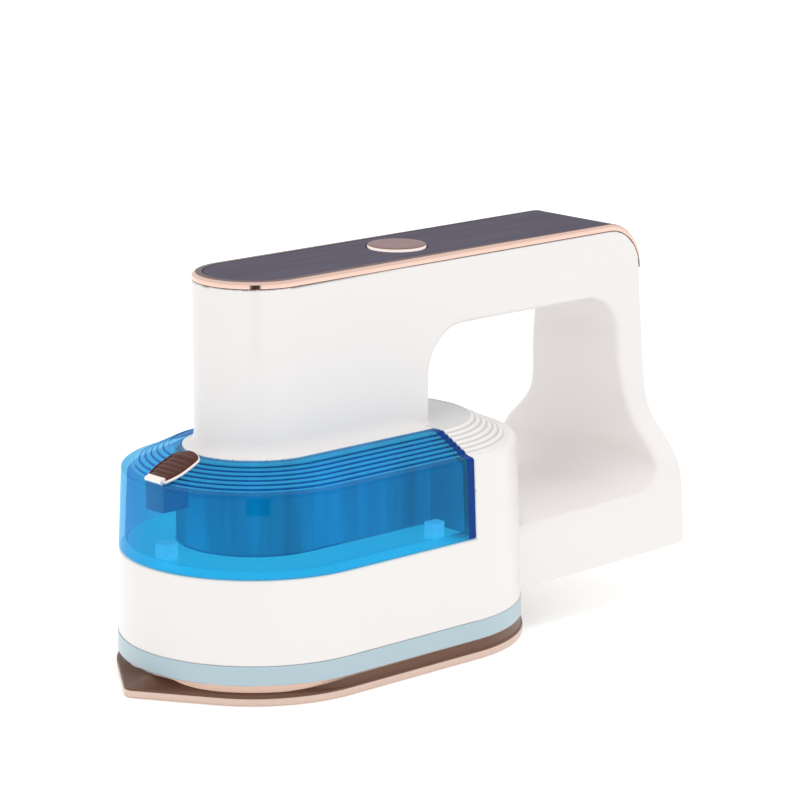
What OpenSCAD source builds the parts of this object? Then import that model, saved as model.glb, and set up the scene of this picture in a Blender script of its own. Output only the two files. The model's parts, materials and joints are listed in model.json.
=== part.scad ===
// Handheld steam iron with a loop handle and a horseshoe water tank.
// Millimetres. +X runs from the nose to the heel, +Z is up and Y = 0 is the plane of symmetry.
// The origin lies on the resting plane, under the common centre of the round front walls.

/* [Base] */
// Half width of the body at the foot of the tank
base_r = 40.3; // [40:0.1:41]
// Distance between the centres of the front and rear half rounds
base_len = 50.5; // [50.4:0.1:51]
// Height of the deck that the tank stands on
deck_z = 36.6; // [36:0.1:37.2]
// Wall thickness of the moulded housing
wall = 2.4; // [2:0.1:2.6]

/* [Soleplate] */
// Distance of the pointed nose's virtual apex from the origin
nose_len = 49.6; // [48:0.1:52]
// Radius of the rounded nose tip
nose_r = 4; // [3:0.5:6]
// Thickness of the pressing plate
sole_t = 2.8; // [2.4:0.1:2.9]
// Diameter of a steam hole
steam_hole_d = 2.6; // [2:0.1:3.4]

/* [Handle] */
// Half width of the column at its round front
column_r = 18; // [17.5:0.1:18.2]
// Half width of the handle above the heel
handle_w = 16.45; // [16:0.05:17]
// Rear face of the column, which is also the front of the finger opening
column_rear = 52; // [52:0.1:53]
// Rear face of the heel
heel_x = 141; // [140:0.5:142]
// Thickness of the heel between the finger opening and its rear face
heel_t = 11; // [10.5:0.1:11.5]
// Height of the top edge of the housing under the trim
rim_z = 115.3; // [115:0.1:115.6]
// Height of the top of the finger opening
opening_z = 95.2; // [95:0.1:96]

/* [Tank] */
// Inside radius of the tank's horseshoe
tank_in_r = 21.9; // [21.8:0.05:22.1]
// Tank wall thickness
tank_wall = 1.8; // [1.5:0.1:2]
// Distance between neighbouring grip ribs, measured outwards
rib_pitch = 1.73; // [1.6:0.01:1.75]
// Depth of the groove between two ribs
rib_depth = 0.5; // [0.2:0.1:0.6]

/* [Button] */
// Distance of the button from the origin
button_x = 55; // [54:0.5:57]
// Button radius
button_r = 9; // [8:0.1:9.4]

/* [Hidden] */
$fn = 96;
gap = 0.1;                       // gap between touching parts that come apart
run = 0.05;                      // radial clearance of a running fit
cut = 1;                         // how far a cutter runs past the solid it cuts

// Outer skin: radius and height of each level of the drafted side wall
skirt_z = 5.9;                   // lower edge of the heat shield
body_z = 11.4;                   // joint between heat shield and housing
shoulder_z = 60.7;               // outer edge of the ribbed top
crown_z = 66.7;                  // flat crown inside the ribs
skirt_r = base_r + 0.5;
shoulder_r = base_r - 1;
rib_out_r = base_r - 3.9;        // outermost rib
rib_out_z = shoulder_z + 0.5;
crown_r = rib_out_r - 6.5 * rib_pitch;
core_r = tank_in_r - 0.3;        // housing core inside the horseshoe
rear_seat = base_len - 0.4;      // housing wall behind the tank
tank_rear = rear_seat - 0.3;

// Soleplate and steam chamber
sole_r = base_r + 1.2;
step_r = base_r - 1.9;
casting_r = base_r - 3.8;
casting_z = 11.9;
chamber_r = 19;
chamber_floor = 5.5;
element_r = 27;                  // spine-to-element distance
element_tube = 3.3;
element_z = 8.3;
element_rear = 52;
gasket_t = 0.6;
gasket_r = 20.8;
cover_z = casting_z + gasket_t;
cover_t = 1.2;
cover_top = cover_z + cover_t;
screw_ring_r = 22.2;
post_front = [27.4, 19.2];
post_rear = [70, 22];
post_r = 4;
post_z = 13.4;
nozzle_x = 44;

// Loop handle
slope_x = 78;                    // where the lower bar leaves the base
floor_front = 32.4;              // finger opening floor, front and rear
floor_rear = 36.4;
under_front = 12;                // underside of the lower bar, front and rear
under_rear = 17.5;
corner_top = 14;                 // outer corner above the heel
open_rf = 14;                    // finger opening corner radii
open_rr = 11;
open_rl = 9;
opening_rear = heel_x - heel_t;
trim_t = 1.5;
trim_w = 1.55;
panel_t = 2.2;
panel_drop = 0.4;                // how far the panel lies below the trim
panel_end_z = 103.3;

// Electrical and pump parts
board_z = 104;
board_t = 1.6;
pump_x = 26;
port_z = 42;
inlet_z = 27;
pin_pitch = 8.6;
pin_r = 1.2;                     // free end of an inlet pin
pin_tail_r = 1;                  // end held in the inlet's floor
button_top = 118;
button_travel = 1.5;
flange_z = 113;

// Filler flap: hinge axis and the slope of the flap
hinge_x = -24.6;
hinge_z = 67;
flap_tilt = 21.4;
flap_t = 1.3;
neck_x = -32.2;
neck_r = 4.2;

// ---------- shared shapes ----------

// Points of an arc about [x, y] from angle a0 to a1
function arc(x, y, r, a0, a1, n = 10) =
    [for (i = [0:n]) let (a = a0 + (a1 - a0) * i / n) [x + r * cos(a), y + r * sin(a)]];

// Half width of the heel at height z: a slight taper plus an S-shaped flare
function heel_half(z) = 20 - 0.085 * (z - 71) + 14.3 / (1 + exp((z - 53) / 3.8));

// Height on a straight line through [x0, z0] and [x1, z1]
function on_line(x, x0, z0, x1, z1) = z0 + (z1 - z0) * (x - x0) / (x1 - x0);

// Long round outline about both centres
module stadium(r) {
    circle(r);
    translate([base_len, 0]) circle(r);
    translate([0, -r]) square([base_len, 2 * r]);
}

module slab(r, z0, z1) {
    translate([0, 0, z0]) linear_extrude(z1 - z0) stadium(r);
}

// Extrudes a Y-Z drawing along X
module along_x(x0, x1) {
    translate([x0, 0, 0]) rotate([90, 0, 90]) linear_extrude(x1 - x0) children();
}

// Extrudes an X-Z drawing by the same distance to both sides
module both_sides(half) {
    rotate([90, 0, 0]) linear_extrude(2 * half, center = true) children();
}

// Sweeps a [distance out, height] profile round the nose and back along both sides
module horseshoe(rear) {
    rotate([0, 0, 90]) rotate_extrude(angle = 180) children();
    for (side = [0, 1]) mirror([0, side, 0]) along_x(0, rear) children();
}

// The same profile round the rear end
module rear_round() {
    translate([base_len, 0, 0]) rotate([0, 0, -90]) rotate_extrude(angle = 180) children();
}

module rod(a, b, r) {
    d = b - a;
    l = norm(d);
    translate(a) rotate([0, acos(d[2] / l), atan2(d[1], d[0])]) cylinder(r = r, h = l);
}

module wire(path, r) {
    for (i = [0:len(path) - 2]) rod(path[i], path[i + 1], r, $fn = 10);
    for (i = [1:len(path) - 2]) translate(path[i]) sphere(r, $fn = 10);
}

module x_cylinder(r, x0, x1) {
    translate([x0, 0, 0]) rotate([0, 90, 0]) cylinder(r = r, h = x1 - x0);
}

// Pan head screw, head at the origin and shank along -Z
module screw(head_r, head_h, shank_r, length) {
    cylinder(r = head_r, h = head_h);
    translate([0, 0, -length]) cylinder(r = shank_r, h = length);
}

// Round wire wound upwards from the origin
module coil(r, wire_r, turns, height) {
    sides = 6;
    steps = 20;
    last = turns * steps;
    lift = height - 2 * wire_r;
    points = [
        for (i = [0:last]) let (a = 360 * i / steps, z = wire_r + lift * i / last)
            for (j = [0:sides - 1]) let (b = 360 * j / sides, d = r + wire_r * cos(b))
                [d * cos(a), d * sin(a), z + wire_r * sin(b)]
    ];
    skin = [
        for (i = [0:last - 1]) for (j = [0:sides - 1])
            let (k = i * sides, m = (j + 1) % sides)
                [k + j, k + sides + j, k + sides + m, k + m]
    ];
    start = [for (j = [0:sides - 1]) j];
    end = [for (j = [0:sides - 1]) last * sides + sides - 1 - j];
    polyhedron(points, concat(skin, [start, end]));
}

// ---------- soleplate and steam chamber ----------

// One closed line: rounded tip, flank, side, rear half round and back again
module sole_outline() {
    tangent = acos(sole_r / nose_len);
    tip = -(nose_len - nose_r / cos(tangent));
    polygon(concat(
        arc(tip, 0, nose_r, 180 + tangent, 180 - tangent, 16),
        arc(0, 0, sole_r, 180 - tangent, 90, 24),
        arc(base_len, 0, sole_r, 90, -90, 60),
        arc(0, 0, sole_r, 270, 180 + tangent, 24)
    ));
}

// Steam holes: an arc of nine round the nose and three pairs along the sides
module steam_holes() {
    for (i = [-4:4]) rotate([0, 0, 22.5 * i]) translate([-15.5, 0, 0]) children();
    for (x = [15, 30, 45]) for (side = [-1, 1]) translate([x, 15.5 * side, 0]) children();
}

module screw_ring() {
    for (a = [-60, 60]) rotate([0, 0, a]) translate([-screw_ring_r, 0, 0]) children();
    for (x = [20, 56]) for (side = [-1, 1])
        translate([x, screw_ring_r * (x > base_len ? 0.965 : 1) * side, 0]) children();
}

module casting_points() {
    for (side = [-1, 1]) {
        translate([-post_front[0], post_front[1] * side, 0]) children();
        translate([post_rear[0], post_rear[1] * side, 0]) children();
    }
}

module soleplate() {
    color([0.80, 0.60, 0.50])
    difference() {
        linear_extrude(sole_t) sole_outline();
        steam_holes() translate([0, 0, -cut]) cylinder(d = steam_hole_d, h = sole_t + 2 * cut);
    }
}

module heater_casting() {
    color([0.72, 0.56, 0.48])
    difference() {
        union() {
            slab(step_r, sole_t, skirt_z);
            slab(casting_r, skirt_z, casting_z);
        }
        slab(chamber_r, chamber_floor, casting_z + cut);
        translate([0, 0, 0]) steam_holes()
            translate([0, 0, sole_t - cut]) cylinder(d = steam_hole_d, h = chamber_floor);
        element_groove();
        screw_ring() translate([0, 0, casting_z - 5]) cylinder(r = 1.25, h = 6);
        casting_points() {
            translate([0, 0, sole_t - cut]) cylinder(r = 1.6, h = casting_z);
            translate([0, 0, sole_t - cut]) cylinder(r = 2.6, h = 3.4);
        }
    }
}

// Groove for the heating element, open to the top
module element_groove() {
    groove = element_tube + 0.1;
    horseshoe(element_rear + 0.1) {
        translate([element_r, element_z]) circle(groove);
        translate([element_r - groove, element_z]) square([2 * groove, 5]);
    }
}

module heating_element() {
    color([0.45, 0.45, 0.47])
    horseshoe(element_rear) translate([element_r, element_z]) circle(element_tube);
}

module element_terminals() {
    color([0.75, 0.62, 0.35])
    for (side = [-1, 1]) translate([element_rear - 4, element_r * side, element_z + element_tube])
        cylinder(r = 1.2, h = 9);
}

module chamber_gasket() {
    color([0.70, 0.25, 0.20])
    difference() {
        slab(gasket_r, casting_z, cover_z);
        slab(chamber_r, casting_z - cut, cover_z + cut);
    }
}

module chamber_cover() {
    color([0.75, 0.76, 0.78])
    difference() {
        slab(24, cover_z, cover_top);
        screw_ring() translate([0, 0, cover_z - cut]) cylinder(r = 1.45, h = 4);
        translate([nozzle_x, 0, cover_z - cut]) cylinder(r = 2.5, h = 4);
    }
}

module chamber_screws() {
    color([0.55, 0.55, 0.57])
    screw_ring() translate([0, 0, cover_top]) screw(1.9, 1.4, 1.2, 5.4);
}

module steam_nozzle() {
    color([0.78, 0.64, 0.35])
    translate([nozzle_x, 0, 0])
    difference() {
        union() {
            translate([0, 0, 10.5]) cylinder(r = 2.45, h = 5);
            translate([0, 0, cover_top]) cylinder(r = 4, h = 2, $fn = 6);
            translate([0, 0, 15.5]) cylinder(r = 1.15, h = 8.5);
        }
        translate([0, 0, 9]) cylinder(r = 0.6, h = 20);
    }
}

module thermostat() {
    color([0.88, 0.86, 0.82])
    translate([16, 0, cover_top]) {
        cylinder(r = 8, h = 3.5);
        translate([0, 0, 3.5]) cylinder(r = 6.6, h = 5);
        for (side = [-1, 1]) translate([-1.5, 4 * side - 0.5, 8.5]) cube([3, 1, 5]);
    }
}

module thermal_fuse() {
    color([0.85, 0.80, 0.65])
    translate([-5, 0, cover_top]) {
        difference() {
            translate([-4, -3.5, 0]) cube([8, 7, 5.6]);
            translate([0, -5, 3.2]) rotate([-90, 0, 0]) cylinder(r = 1.9, h = 10);
        }
        translate([0, -7, 3.2]) rotate([-90, 0, 0]) cylinder(r = 1.9, h = 14);
    }
}

module heat_shield() {
    rim = skirt_r;
    profile = [
        [rim, skirt_z], [rim, body_z], [38, body_z], [38, post_z], [25, post_z],
        [25, casting_z], [37, casting_z], [37, 10], [rim - 2, 10], [rim - 2, skirt_z]
    ];
    color([0.72, 0.80, 0.83])
    difference() {
        union() {
            horseshoe(base_len) polygon(profile);
            rear_round() polygon(profile);
        }
        casting_points() translate([0, 0, casting_z - cut]) cylinder(r = 1.6, h = 4);
        for (side = [-1, 1]) translate([element_rear - 4, element_r * side, casting_z - cut])
            cylinder(r = 2.4, h = 4);
    }
}

module casting_screws() {
    color([0.55, 0.55, 0.57])
    casting_points() translate([0, 0, 4.9]) mirror([0, 0, 1]) screw(2.4, 1.8, 1.45, 17);
}

// ---------- housing ----------

// Outer surface of body and tank as a solid half section
function skin_profile() = [
    [0, body_z], [skirt_r, body_z], [base_r, deck_z], [shoulder_r, shoulder_z],
    [rib_out_r, rib_out_z], each rib_line(), [0, crown_z]
];

// Saw of ribs and grooves climbing from the outermost rib to the crown
function rib_line() =
    let (n = 7, rise = (crown_z - rib_out_z) / (n - 0.5), r0 = rib_out_r)
    [for (i = [0:n - 1]) each [
        [r0 - (i + 0.35) * rib_pitch, rib_out_z + (i + 0.35) * rise - rib_depth / 2],
        [r0 - (i + 0.6) * rib_pitch, rib_out_z + (i + 0.6) * rise - rib_depth],
        [r0 - (i + 0.8) * rib_pitch, min(crown_z, rib_out_z + (i + 0.9) * rise)]
    ]];

// Side view of the loop, drawn in X-Z and shrunk by d
module loop_outline(d) {
    top = rim_z + (d > 0 ? cut : 0);
    rear = heel_x - d;
    c = heel_x - corner_top;
    difference() {
        union() {
            translate([-column_r + d, 60]) square([c + column_r - d, top - 60]);
            translate([60, 60]) square([rear - 60, rim_z - corner_top - 60]);
            translate([c, rim_z - corner_top]) circle(corner_top - d);
            polygon([
                [slope_x - 10, under_front - 10 * (under_rear - under_front)
                    / (heel_x - slope_x) + d],
                [rear, under_rear + d],
                [rear, 60],
                [slope_x - 10, 60]
            ]);
        }
        loop_opening(d);
    }
}

module loop_opening(d) {
    front = column_rear - d;
    rear = opening_rear + d;
    floor_at = on_line(rear, slope_x, floor_front, opening_rear, floor_rear) - d;
    polygon(concat(
        [[front, 56]],
        arc(column_rear + open_rf, opening_z - open_rf, open_rf + d, 180, 90),
        arc(opening_rear - open_rr, opening_z - open_rr, open_rr + d, 90, 0),
        arc(opening_rear - open_rl, floor_at + d + open_rl, open_rl + d, 0, -85),
        [[slope_x - 12, floor_front - d - 12 * (floor_rear - floor_front)
            / (opening_rear - slope_x)], [slope_x - 12, 56]]
    ));
}

// Plan of the column and handle
module handle_plan(d) {
    circle(column_r - d);
    polygon([
        [0, -column_r + d], [heel_x, -handle_w + d], [heel_x, handle_w - d], [0, column_r - d]
    ]);
}

// Heel seen from behind, shrunk by d, from height z0 to z1
module heel_outline(d, z0, z1) {
    n = 32;
    right = [for (i = [0:n]) let (z = z0 + (z1 - z0) * i / n) [heel_half(z) - d, z]];
    left = [for (i = [n:-1:0]) [-right[i][0], right[i][1]]];
    polygon(concat(right, left));
}

module bar_plan(d) {
    polygon([
        [slope_x - 10, -28.6 + d], [heel_x, -38.9 + d], [heel_x, 38.9 - d], [slope_x - 10, 28.6 - d]
    ]);
}

module upper_heel_plan(d) {
    polygon([
        [110, -16.6 + d], [opening_rear, -20 + d], [heel_x, -20 + d],
        [heel_x, 20 - d], [opening_rear, 20 - d], [110, 16.6 - d]
    ]);
}

// The whole loop as a solid, shrunk by d
module loop_solid(d) {
    high = rim_z + 2 * cut;
    intersection() {
        both_sides(45) loop_outline(d);
        union() {
            translate([0, 0, 55]) linear_extrude(high - 55) intersection() {
                handle_plan(d);
                translate([-50, -50]) square([170, 100]);
            }
            intersection() {
                along_x(60, heel_x) heel_outline(d, 5, rim_z + cut);
                union() {
                    translate([0, 0, 80]) linear_extrude(high - 80) upper_heel_plan(d);
                    linear_extrude(80) bar_plan(d);
                }
            }
        }
    }
}

// Filler between the column and the flat crown round its foot
module column_foot() {
    foot = concat([[0, crown_z - 1], [core_r, crown_z - 1], [core_r, crown_z]],
        arc(core_r + 1.5, crown_z + 6, 6, -105, -180, 8), [[0, crown_z + 6]]);
    intersection() {
        horseshoe(column_rear) polygon([for (p = foot) [min(p[0], core_r), max(p[1], 60)]]);
        translate([-30, -30, 60]) cube([30 + column_rear, 60, 20]);
    }
}

module rear_cover_space(g) {
    along_x(heel_x - wall + 0.1 - g, heel_x + (g > 0 ? cut : 0))
        heel_outline(2.1 - g, 20 - g, 98 + g);
}

module panel_profile(g) {
    c = heel_x - corner_top - 1;
    top = rim_z + trim_t - panel_drop;
    r = corner_top + 1 - panel_drop;
    difference() {
        union() {
            translate([-column_r, top - panel_t - g])
                square([c + column_r, panel_t + g + (g > 0 ? cut : 0)]);
            difference() {
                translate([c, top - r]) circle(r + (g > 0 ? cut : 0));
                translate([c, top - r]) circle(r - panel_t - g);
                translate([c - 30, top - r - 30]) square([30, 60]);
            }
        }
        translate([c - 2, 60]) square([40, panel_end_z - 60 - g]);
    }
}

module panel_plan(inset) {
    intersection() {
        handle_plan(inset);
        translate([-50, -50]) square([200, 100]);
    }
}

module housing_shell() {
    difference() {
        union() {
            slab_body();
            loop_solid(0);
            column_foot();
        }
        // base cavity, open below
        slab(base_r - wall + 0.3, body_z - cut, deck_z - 2.2);
        // core between the legs of the tank
        slab_clipped(core_r - 2.2, deck_z - 3, crown_z - 2.3, -40, 100);
        // rear body behind the tank
        slab_clipped(base_r - wall - 1.5, deck_z - 3, 58, rear_seat + wall, 100);
        loop_solid(wall);
        intersection() {
            both_sides(50) panel_profile(gap / 2);
            translate([0, 0, 90]) linear_extrude(40) panel_plan(trim_w + 0.05);
        }
        rear_cover_space(gap);
        translate([0, 0, port_z]) x_cylinder(6.05, -30, -18);
    }
}

module slab_clipped(r, z0, z1, x0, x1) {
    intersection() {
        slab(r, z0, z1);
        translate([x0, -60, z0 - cut]) cube([x1 - x0, 120, z1 - z0 + 2 * cut]);
    }
}

// Base, core and rear body, with the horseshoe of the tank left out
module slab_body() {
    difference() {
        union() {
            horseshoe(base_len) polygon(skin_profile());
            rear_round() polygon(skin_profile());
        }
        difference() {
            translate([-60, -60, deck_z]) cube([60 + rear_seat, 120, 60]);
            slab(core_r, deck_z - cut, crown_z + cut);
        }
    }
}

module main_housing() {
    color([0.96, 0.95, 0.94]) {
        difference() {
            union() {
                housing_shell();
                for (side = [-1, 1]) {
                    translate([-post_front[0], post_front[1] * side, post_z])
                        cylinder(r = post_r, h = deck_z - 2 - post_z);
                    translate([post_rear[0], post_rear[1] * side, post_z])
                        cylinder(r = post_r, h = 58.5 - post_z);
                }
                board_posts();
            }
            casting_points() translate([0, 0, post_z - cut]) cylinder(r = 1.5, h = 10);
            board_points() translate([0, 0, board_z - 5]) cylinder(r = 1.05, h = 6);
        }
    }
}

module board_points() {
    for (x = [68, 106]) for (side = [-1, 1]) translate([x, 9.5 * side, 0]) children();
}

module board_posts() {
    base = opening_z + wall - 0.5;
    board_points() translate([0, 0, base]) cylinder(r = 2.6, h = board_z - base);
}

module rear_cover() {
    color([0.95, 0.94, 0.93])
    difference() {
        rear_cover_space(0);
        translate([heel_x - 10, -10.6, inlet_z - 6.6]) cube([20, 21.2, 13.2]);
        cover_points() {
            x_cylinder(1.5, heel_x - 10, heel_x + cut);
            x_cylinder(2.7, heel_x - 1.4, heel_x + cut);
        }
    }
}

module cover_points() {
    for (side = [-1, 1]) {
        translate([0, 31 * side, 27]) children();
        translate([0, 10 * side, 92]) children();
    }
}

module rear_cover_screws() {
    color([0.55, 0.55, 0.57])
    cover_points() translate([heel_x - 1.4, 0, 0]) rotate([0, 90, 0]) screw(2.5, 1.2, 1.4, 6);
}

module power_inlet() {
    color([0.16, 0.16, 0.17])
    difference() {
        translate([126, -10.5, inlet_z - 6.5]) cube([heel_x - 126, 21, 13]);
        along_x(130, heel_x + cut) {
            for (side = [-1, 1]) translate([pin_pitch / 2 * side, inlet_z]) circle(3.9);
            translate([-pin_pitch / 2, inlet_z - 3.9]) square([pin_pitch, 7.8]);
        }
        for (side = [-1, 1]) translate([0, pin_pitch / 2 * side, inlet_z])
            x_cylinder(pin_tail_r, 120, 132);
    }
}

module inlet_pins() {
    color([0.80, 0.66, 0.36])
    for (side = [-1, 1]) translate([0, pin_pitch / 2 * side, inlet_z]) {
        x_cylinder(pin_tail_r, 121, 130.4);
        x_cylinder(pin_r, 130.4, 139);
    }
}

module mains_wires() {
    color([0.35, 0.22, 0.15])
    for (side = [-1, 1]) wire([
        [121, pin_pitch / 2 * side, inlet_z],
        [117.5, pin_pitch / 2 * side, inlet_z],
        [117.5, 14 * side, inlet_z],
        [134.5, 14 * side, inlet_z],
        [134.5, 14 * side, 45],
        [134.5, 6 * side, 60],
        [134.5, 6 * side, 102],
        [113, 6 * side, 102],
        [108, 5 * side, board_z - 1]
    ], 0.9);
}

module heater_wires() {
    color([0.75, 0.72, 0.68])
    for (side = [-1, 1]) wire([
        [5, 11 * side, board_z],
        [5, 11 * side, 30],
        [element_rear - 4, element_r * side, 30],
        [element_rear - 4, element_r * side, element_z + element_tube + 9]
    ], 0.9);
}

// ---------- top of the handle ----------

module trim_profile() {
    c = heel_x - corner_top - 1;
    difference() {
        union() {
            translate([-column_r, rim_z]) square([c + column_r, trim_t]);
            intersection() {
                translate([c, rim_z + trim_t - corner_top - 1]) circle(corner_top + 1);
                translate([c, panel_end_z - 1]) square([40, 40]);
            }
        }
        loop_outline(0);
    }
}

module trim_ring() {
    color([0.90, 0.69, 0.60])
    intersection() {
        both_sides(50) trim_profile();
        translate([0, 0, 90]) linear_extrude(40) difference() {
            panel_plan(0);
            panel_plan(trim_w);
        }
    }
}

module top_panel() {
    color([0.30, 0.27, 0.31])
    difference() {
        intersection() {
            both_sides(50) panel_profile(0);
            translate([0, 0, 90]) linear_extrude(40) panel_plan(trim_w + 0.1);
        }
        translate([button_x, 0, 110]) cylinder(r = button_r + run + 0.03, h = 10);
    }
}

module steam_button() {
    color([0.68, 0.56, 0.54])
    translate([button_x, 0, 0]) {
        translate([0, 0, flange_z]) cylinder(r = button_r + 1.3, h = 1);
        translate([0, 0, flange_z + 1]) cylinder(r = button_r, h = button_top - flange_z - 1.7);
        translate([0, 0, button_top - 0.7]) cylinder(r1 = button_r, r2 = button_r - 0.9, h = 0.7);
    }
}

module button_spring() {
    color([0.60, 0.61, 0.63])
    translate([button_x, 0, board_z + board_t]) coil(5.4, 0.3, 4, flange_z - board_z - board_t);
}

module micro_switch() {
    color([0.15, 0.15, 0.16])
    translate([button_x, 0, board_z + board_t])
    difference() {
        translate([-3, -3, 0]) cube([6, 6, 5.6]);
        translate([0, 0, 1.8]) cylinder(r = 1.7 + run, h = 5);
    }
}

module switch_plunger() {
    color([0.80, 0.20, 0.18])
    translate([button_x, 0, board_z + board_t + 3.5]) cylinder(r = 1.7, h = 3.9);
}

module control_board() {
    color([0.10, 0.38, 0.22])
    difference() {
        union() {
            translate([2, -12, board_z]) cube([110, 24, board_t]);
            translate([76, -6, board_z + board_t]) cube([16, 12, 6]);
            translate([22, 0, board_z + board_t]) cylinder(r = 4, h = 7);
        }
        board_points() translate([0, 0, board_z - cut]) cylinder(r = 1.4, h = 5);
    }
}

module board_screws() {
    color([0.55, 0.55, 0.57])
    board_points() translate([0, 0, board_z + board_t]) screw(2, 1.2, 1, 6);
}

// ---------- pump and water path ----------

module pump_body() {
    color([0.85, 0.84, 0.80])
    translate([pump_x, 0, 0])
    difference() {
        union() {
            translate([0, 0, 52]) cylinder(r = 7, h = 32);
            translate([0, 0, 48.5]) cylinder(r = 1.15, h = 4);
            translate([0, 0, 83]) cylinder(r = 1.15, h = 4.5);
        }
        translate([0, 0, 55]) cylinder(r = 5 + run, h = 25);
        translate([0, 0, 45]) cylinder(r = 0.6, h = 45);
    }
}

module pump_coil() {
    color([0.72, 0.38, 0.20])
    translate([pump_x, 0, 58]) difference() {
        cylinder(r = 12, h = 18);
        translate([0, 0, -cut]) cylinder(r = 7.05, h = 20);
    }
}

module pump_bracket() {
    color([0.62, 0.63, 0.65])
    difference() {
        union() {
            for (z = [56.7, 76.1]) translate([pump_x - 13, -14.8, z]) cube([26.2, 29.6, 1.2]);
            translate([pump_x + 12.1, -9, 56.7]) cube([1.1, 18, 20.6]);
        }
        translate([pump_x, 0, 50]) cylinder(r = 7.05, h = 40);
    }
}

module pump_plunger() {
    color([0.50, 0.51, 0.53])
    translate([pump_x, 0, 57]) difference() {
        cylinder(r = 5, h = 13);
        translate([0, 0, -cut]) cylinder(r = 1, h = 15);
    }
}

module pump_spring() {
    color([0.60, 0.61, 0.63])
    translate([pump_x, 0, 70]) coil(3.6, 0.35, 5, 10);
}

module hose_ring() {
    difference() {
        circle(2.2);
        circle(1.2);
    }
}

module hose_straight(a, b) {
    difference() {
        rod(a, b, 2.2);
        rod(a - (b - a), b + (b - a), 1.2);
    }
}

module inlet_hose() {
    bend = 6;
    color([0.82, 0.84, 0.84]) {
        hose_straight([-11.9, 0, port_z], [pump_x - bend, 0, port_z]);
        hose_straight([pump_x, 0, port_z + bend], [pump_x, 0, 51.9]);
        translate([pump_x - bend, 0, port_z + bend]) rotate([90, 0, 0])
            rotate([0, 0, -90]) rotate_extrude(angle = 90) translate([bend, 0]) hose_ring();
    }
}

module outlet_hose() {
    bend = (nozzle_x - pump_x) / 2;
    top = 88;
    color([0.82, 0.84, 0.84]) {
        hose_straight([pump_x, 0, 84.1], [pump_x, 0, top]);
        hose_straight([nozzle_x, 0, 16.5], [nozzle_x, 0, top]);
        translate([pump_x + bend, 0, top]) rotate([90, 0, 0])
            rotate_extrude(angle = 180) translate([bend, 0]) hose_ring();
    }
}

module valve_socket() {
    color([0.88, 0.88, 0.86])
    translate([0, 0, port_z]) difference() {
        union() {
            x_cylinder(6, -20.9, -12);
            x_cylinder(1.15, -12.5, -6);
        }
        x_cylinder(4 + run, -30, -14);
        x_cylinder(0.65, -16, 0);
    }
}

module inlet_needle() {
    color([0.75, 0.76, 0.78])
    translate([0, 0, port_z]) difference() {
        x_cylinder(0.65, -19.5, -12.5);
        x_cylinder(0.35, -30, 0);
    }
}

// ---------- tank ----------

module water_tank() {
    inner = tank_in_r + tank_wall;
    floor_z = deck_z + gap;
    outer_top = base_r - 0.95;
    shell = [
        [tank_in_r, floor_z], [base_r, floor_z], [outer_top, 60], [outer_top - tank_wall, 60],
        [base_r - tank_wall, floor_z + tank_wall], [inner, floor_z + tank_wall],
        [inner, 64.6], [tank_in_r, 64.6]
    ];
    end_wall = [
        [tank_in_r, floor_z], [base_r, floor_z], [outer_top, 60], [outer_top - tank_wall, 60],
        [inner + tank_wall, 64.6], [tank_in_r, 64.6]
    ];
    color([0.10, 0.55, 0.82, 0.6])
    difference() {
        union() {
            horseshoe(tank_rear) polygon(shell);
            for (side = [0, 1]) mirror([0, side, 0]) along_x(tank_rear - tank_wall, tank_rear)
                polygon(end_wall);
            translate([0, 0, port_z]) x_cylinder(3, -22.5, -15);
            translate([-36, -2.5, floor_z + 1]) cube([5, 5, 5.4]);
            for (side = [-1, 1]) translate([36, 34.5 * side - 2, floor_z + 1]) cube([5, 4, 5.4]);
        }
        translate([0, 0, port_z]) x_cylinder(1.9, -30, -10);
    }
}

module tank_lid() {
    outer = base_r - 0.95;
    lid = concat(
        [[tank_in_r, 64.6], [tank_in_r + 2 * tank_wall, 64.6], [outer - tank_wall, 60],
            [outer, 60], [shoulder_r, shoulder_z], [rib_out_r, rib_out_z]],
        rib_line(), [[tank_in_r, crown_z]]
    );
    color([0.12, 0.48, 0.74, 0.7])
    difference() {
        union() {
            horseshoe(tank_rear) polygon(lid);
            translate([neck_x, 0, 52.5]) cylinder(r = neck_r + 0.9, h = 8.8);
            for (side = [-1, 1]) translate([hinge_x, 2.6 * side, 0]) {
                translate([0, 0.5, hinge_z]) rotate([90, 0, 0]) cylinder(r = 0.75, h = 1);
                translate([-0.75, -0.5, 65.5]) cube([1.5, 1, hinge_z - 65.5]);
            }
        }
        translate([neck_x, 0, 50]) cylinder(r = neck_r, h = 20);
        translate([hinge_x - 1.3, -2.1, 66]) cube([2.6, 4.2, 3]);
        translate([hinge_x, 5, hinge_z]) rotate([90, 0, 0]) cylinder(r = 0.5, h = 10);
    }
}

// Moves children from the flap's own plane to the hinge
module on_flap() {
    translate([hinge_x, 0, hinge_z]) rotate([0, -flap_tilt, 0]) children();
}

// Leaf outline, from the hinge at x = 0 towards the lip
module leaf() {
    bow = 22;
    intersection() {
        translate([-8, bow - 5.8]) circle(bow);
        translate([-8, -bow + 5.8]) circle(bow);
        translate([-15.8, -6]) square([15.8, 12]);
    }
}

module filler_flap() {
    color([0.66, 0.50, 0.45])
    difference() {
        union() {
            on_flap() {
                linear_extrude(flap_t) leaf();
                for (i = [0:6]) translate([-3 - 1.8 * i, 0, flap_t]) rotate([90, 0, 0])
                    cylinder(r = 0.3, h = 6.4, center = true, $fn = 24);
                translate([-17, -3.65, -0.5]) cube([1.4, 7.3, flap_t + 0.5]);
            }
            translate([hinge_x, 2, hinge_z]) rotate([90, 0, 0]) cylinder(r = 0.85, h = 4);
        }
        for (side = [-1, 1]) translate([hinge_x, 2.6 * side + 0.6, hinge_z]) rotate([90, 0, 0])
            cylinder(r = 0.9, h = 1.2);
        translate([hinge_x, 5, hinge_z]) rotate([90, 0, 0]) cylinder(r = 0.5 + run, h = 10);
    }
}

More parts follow.
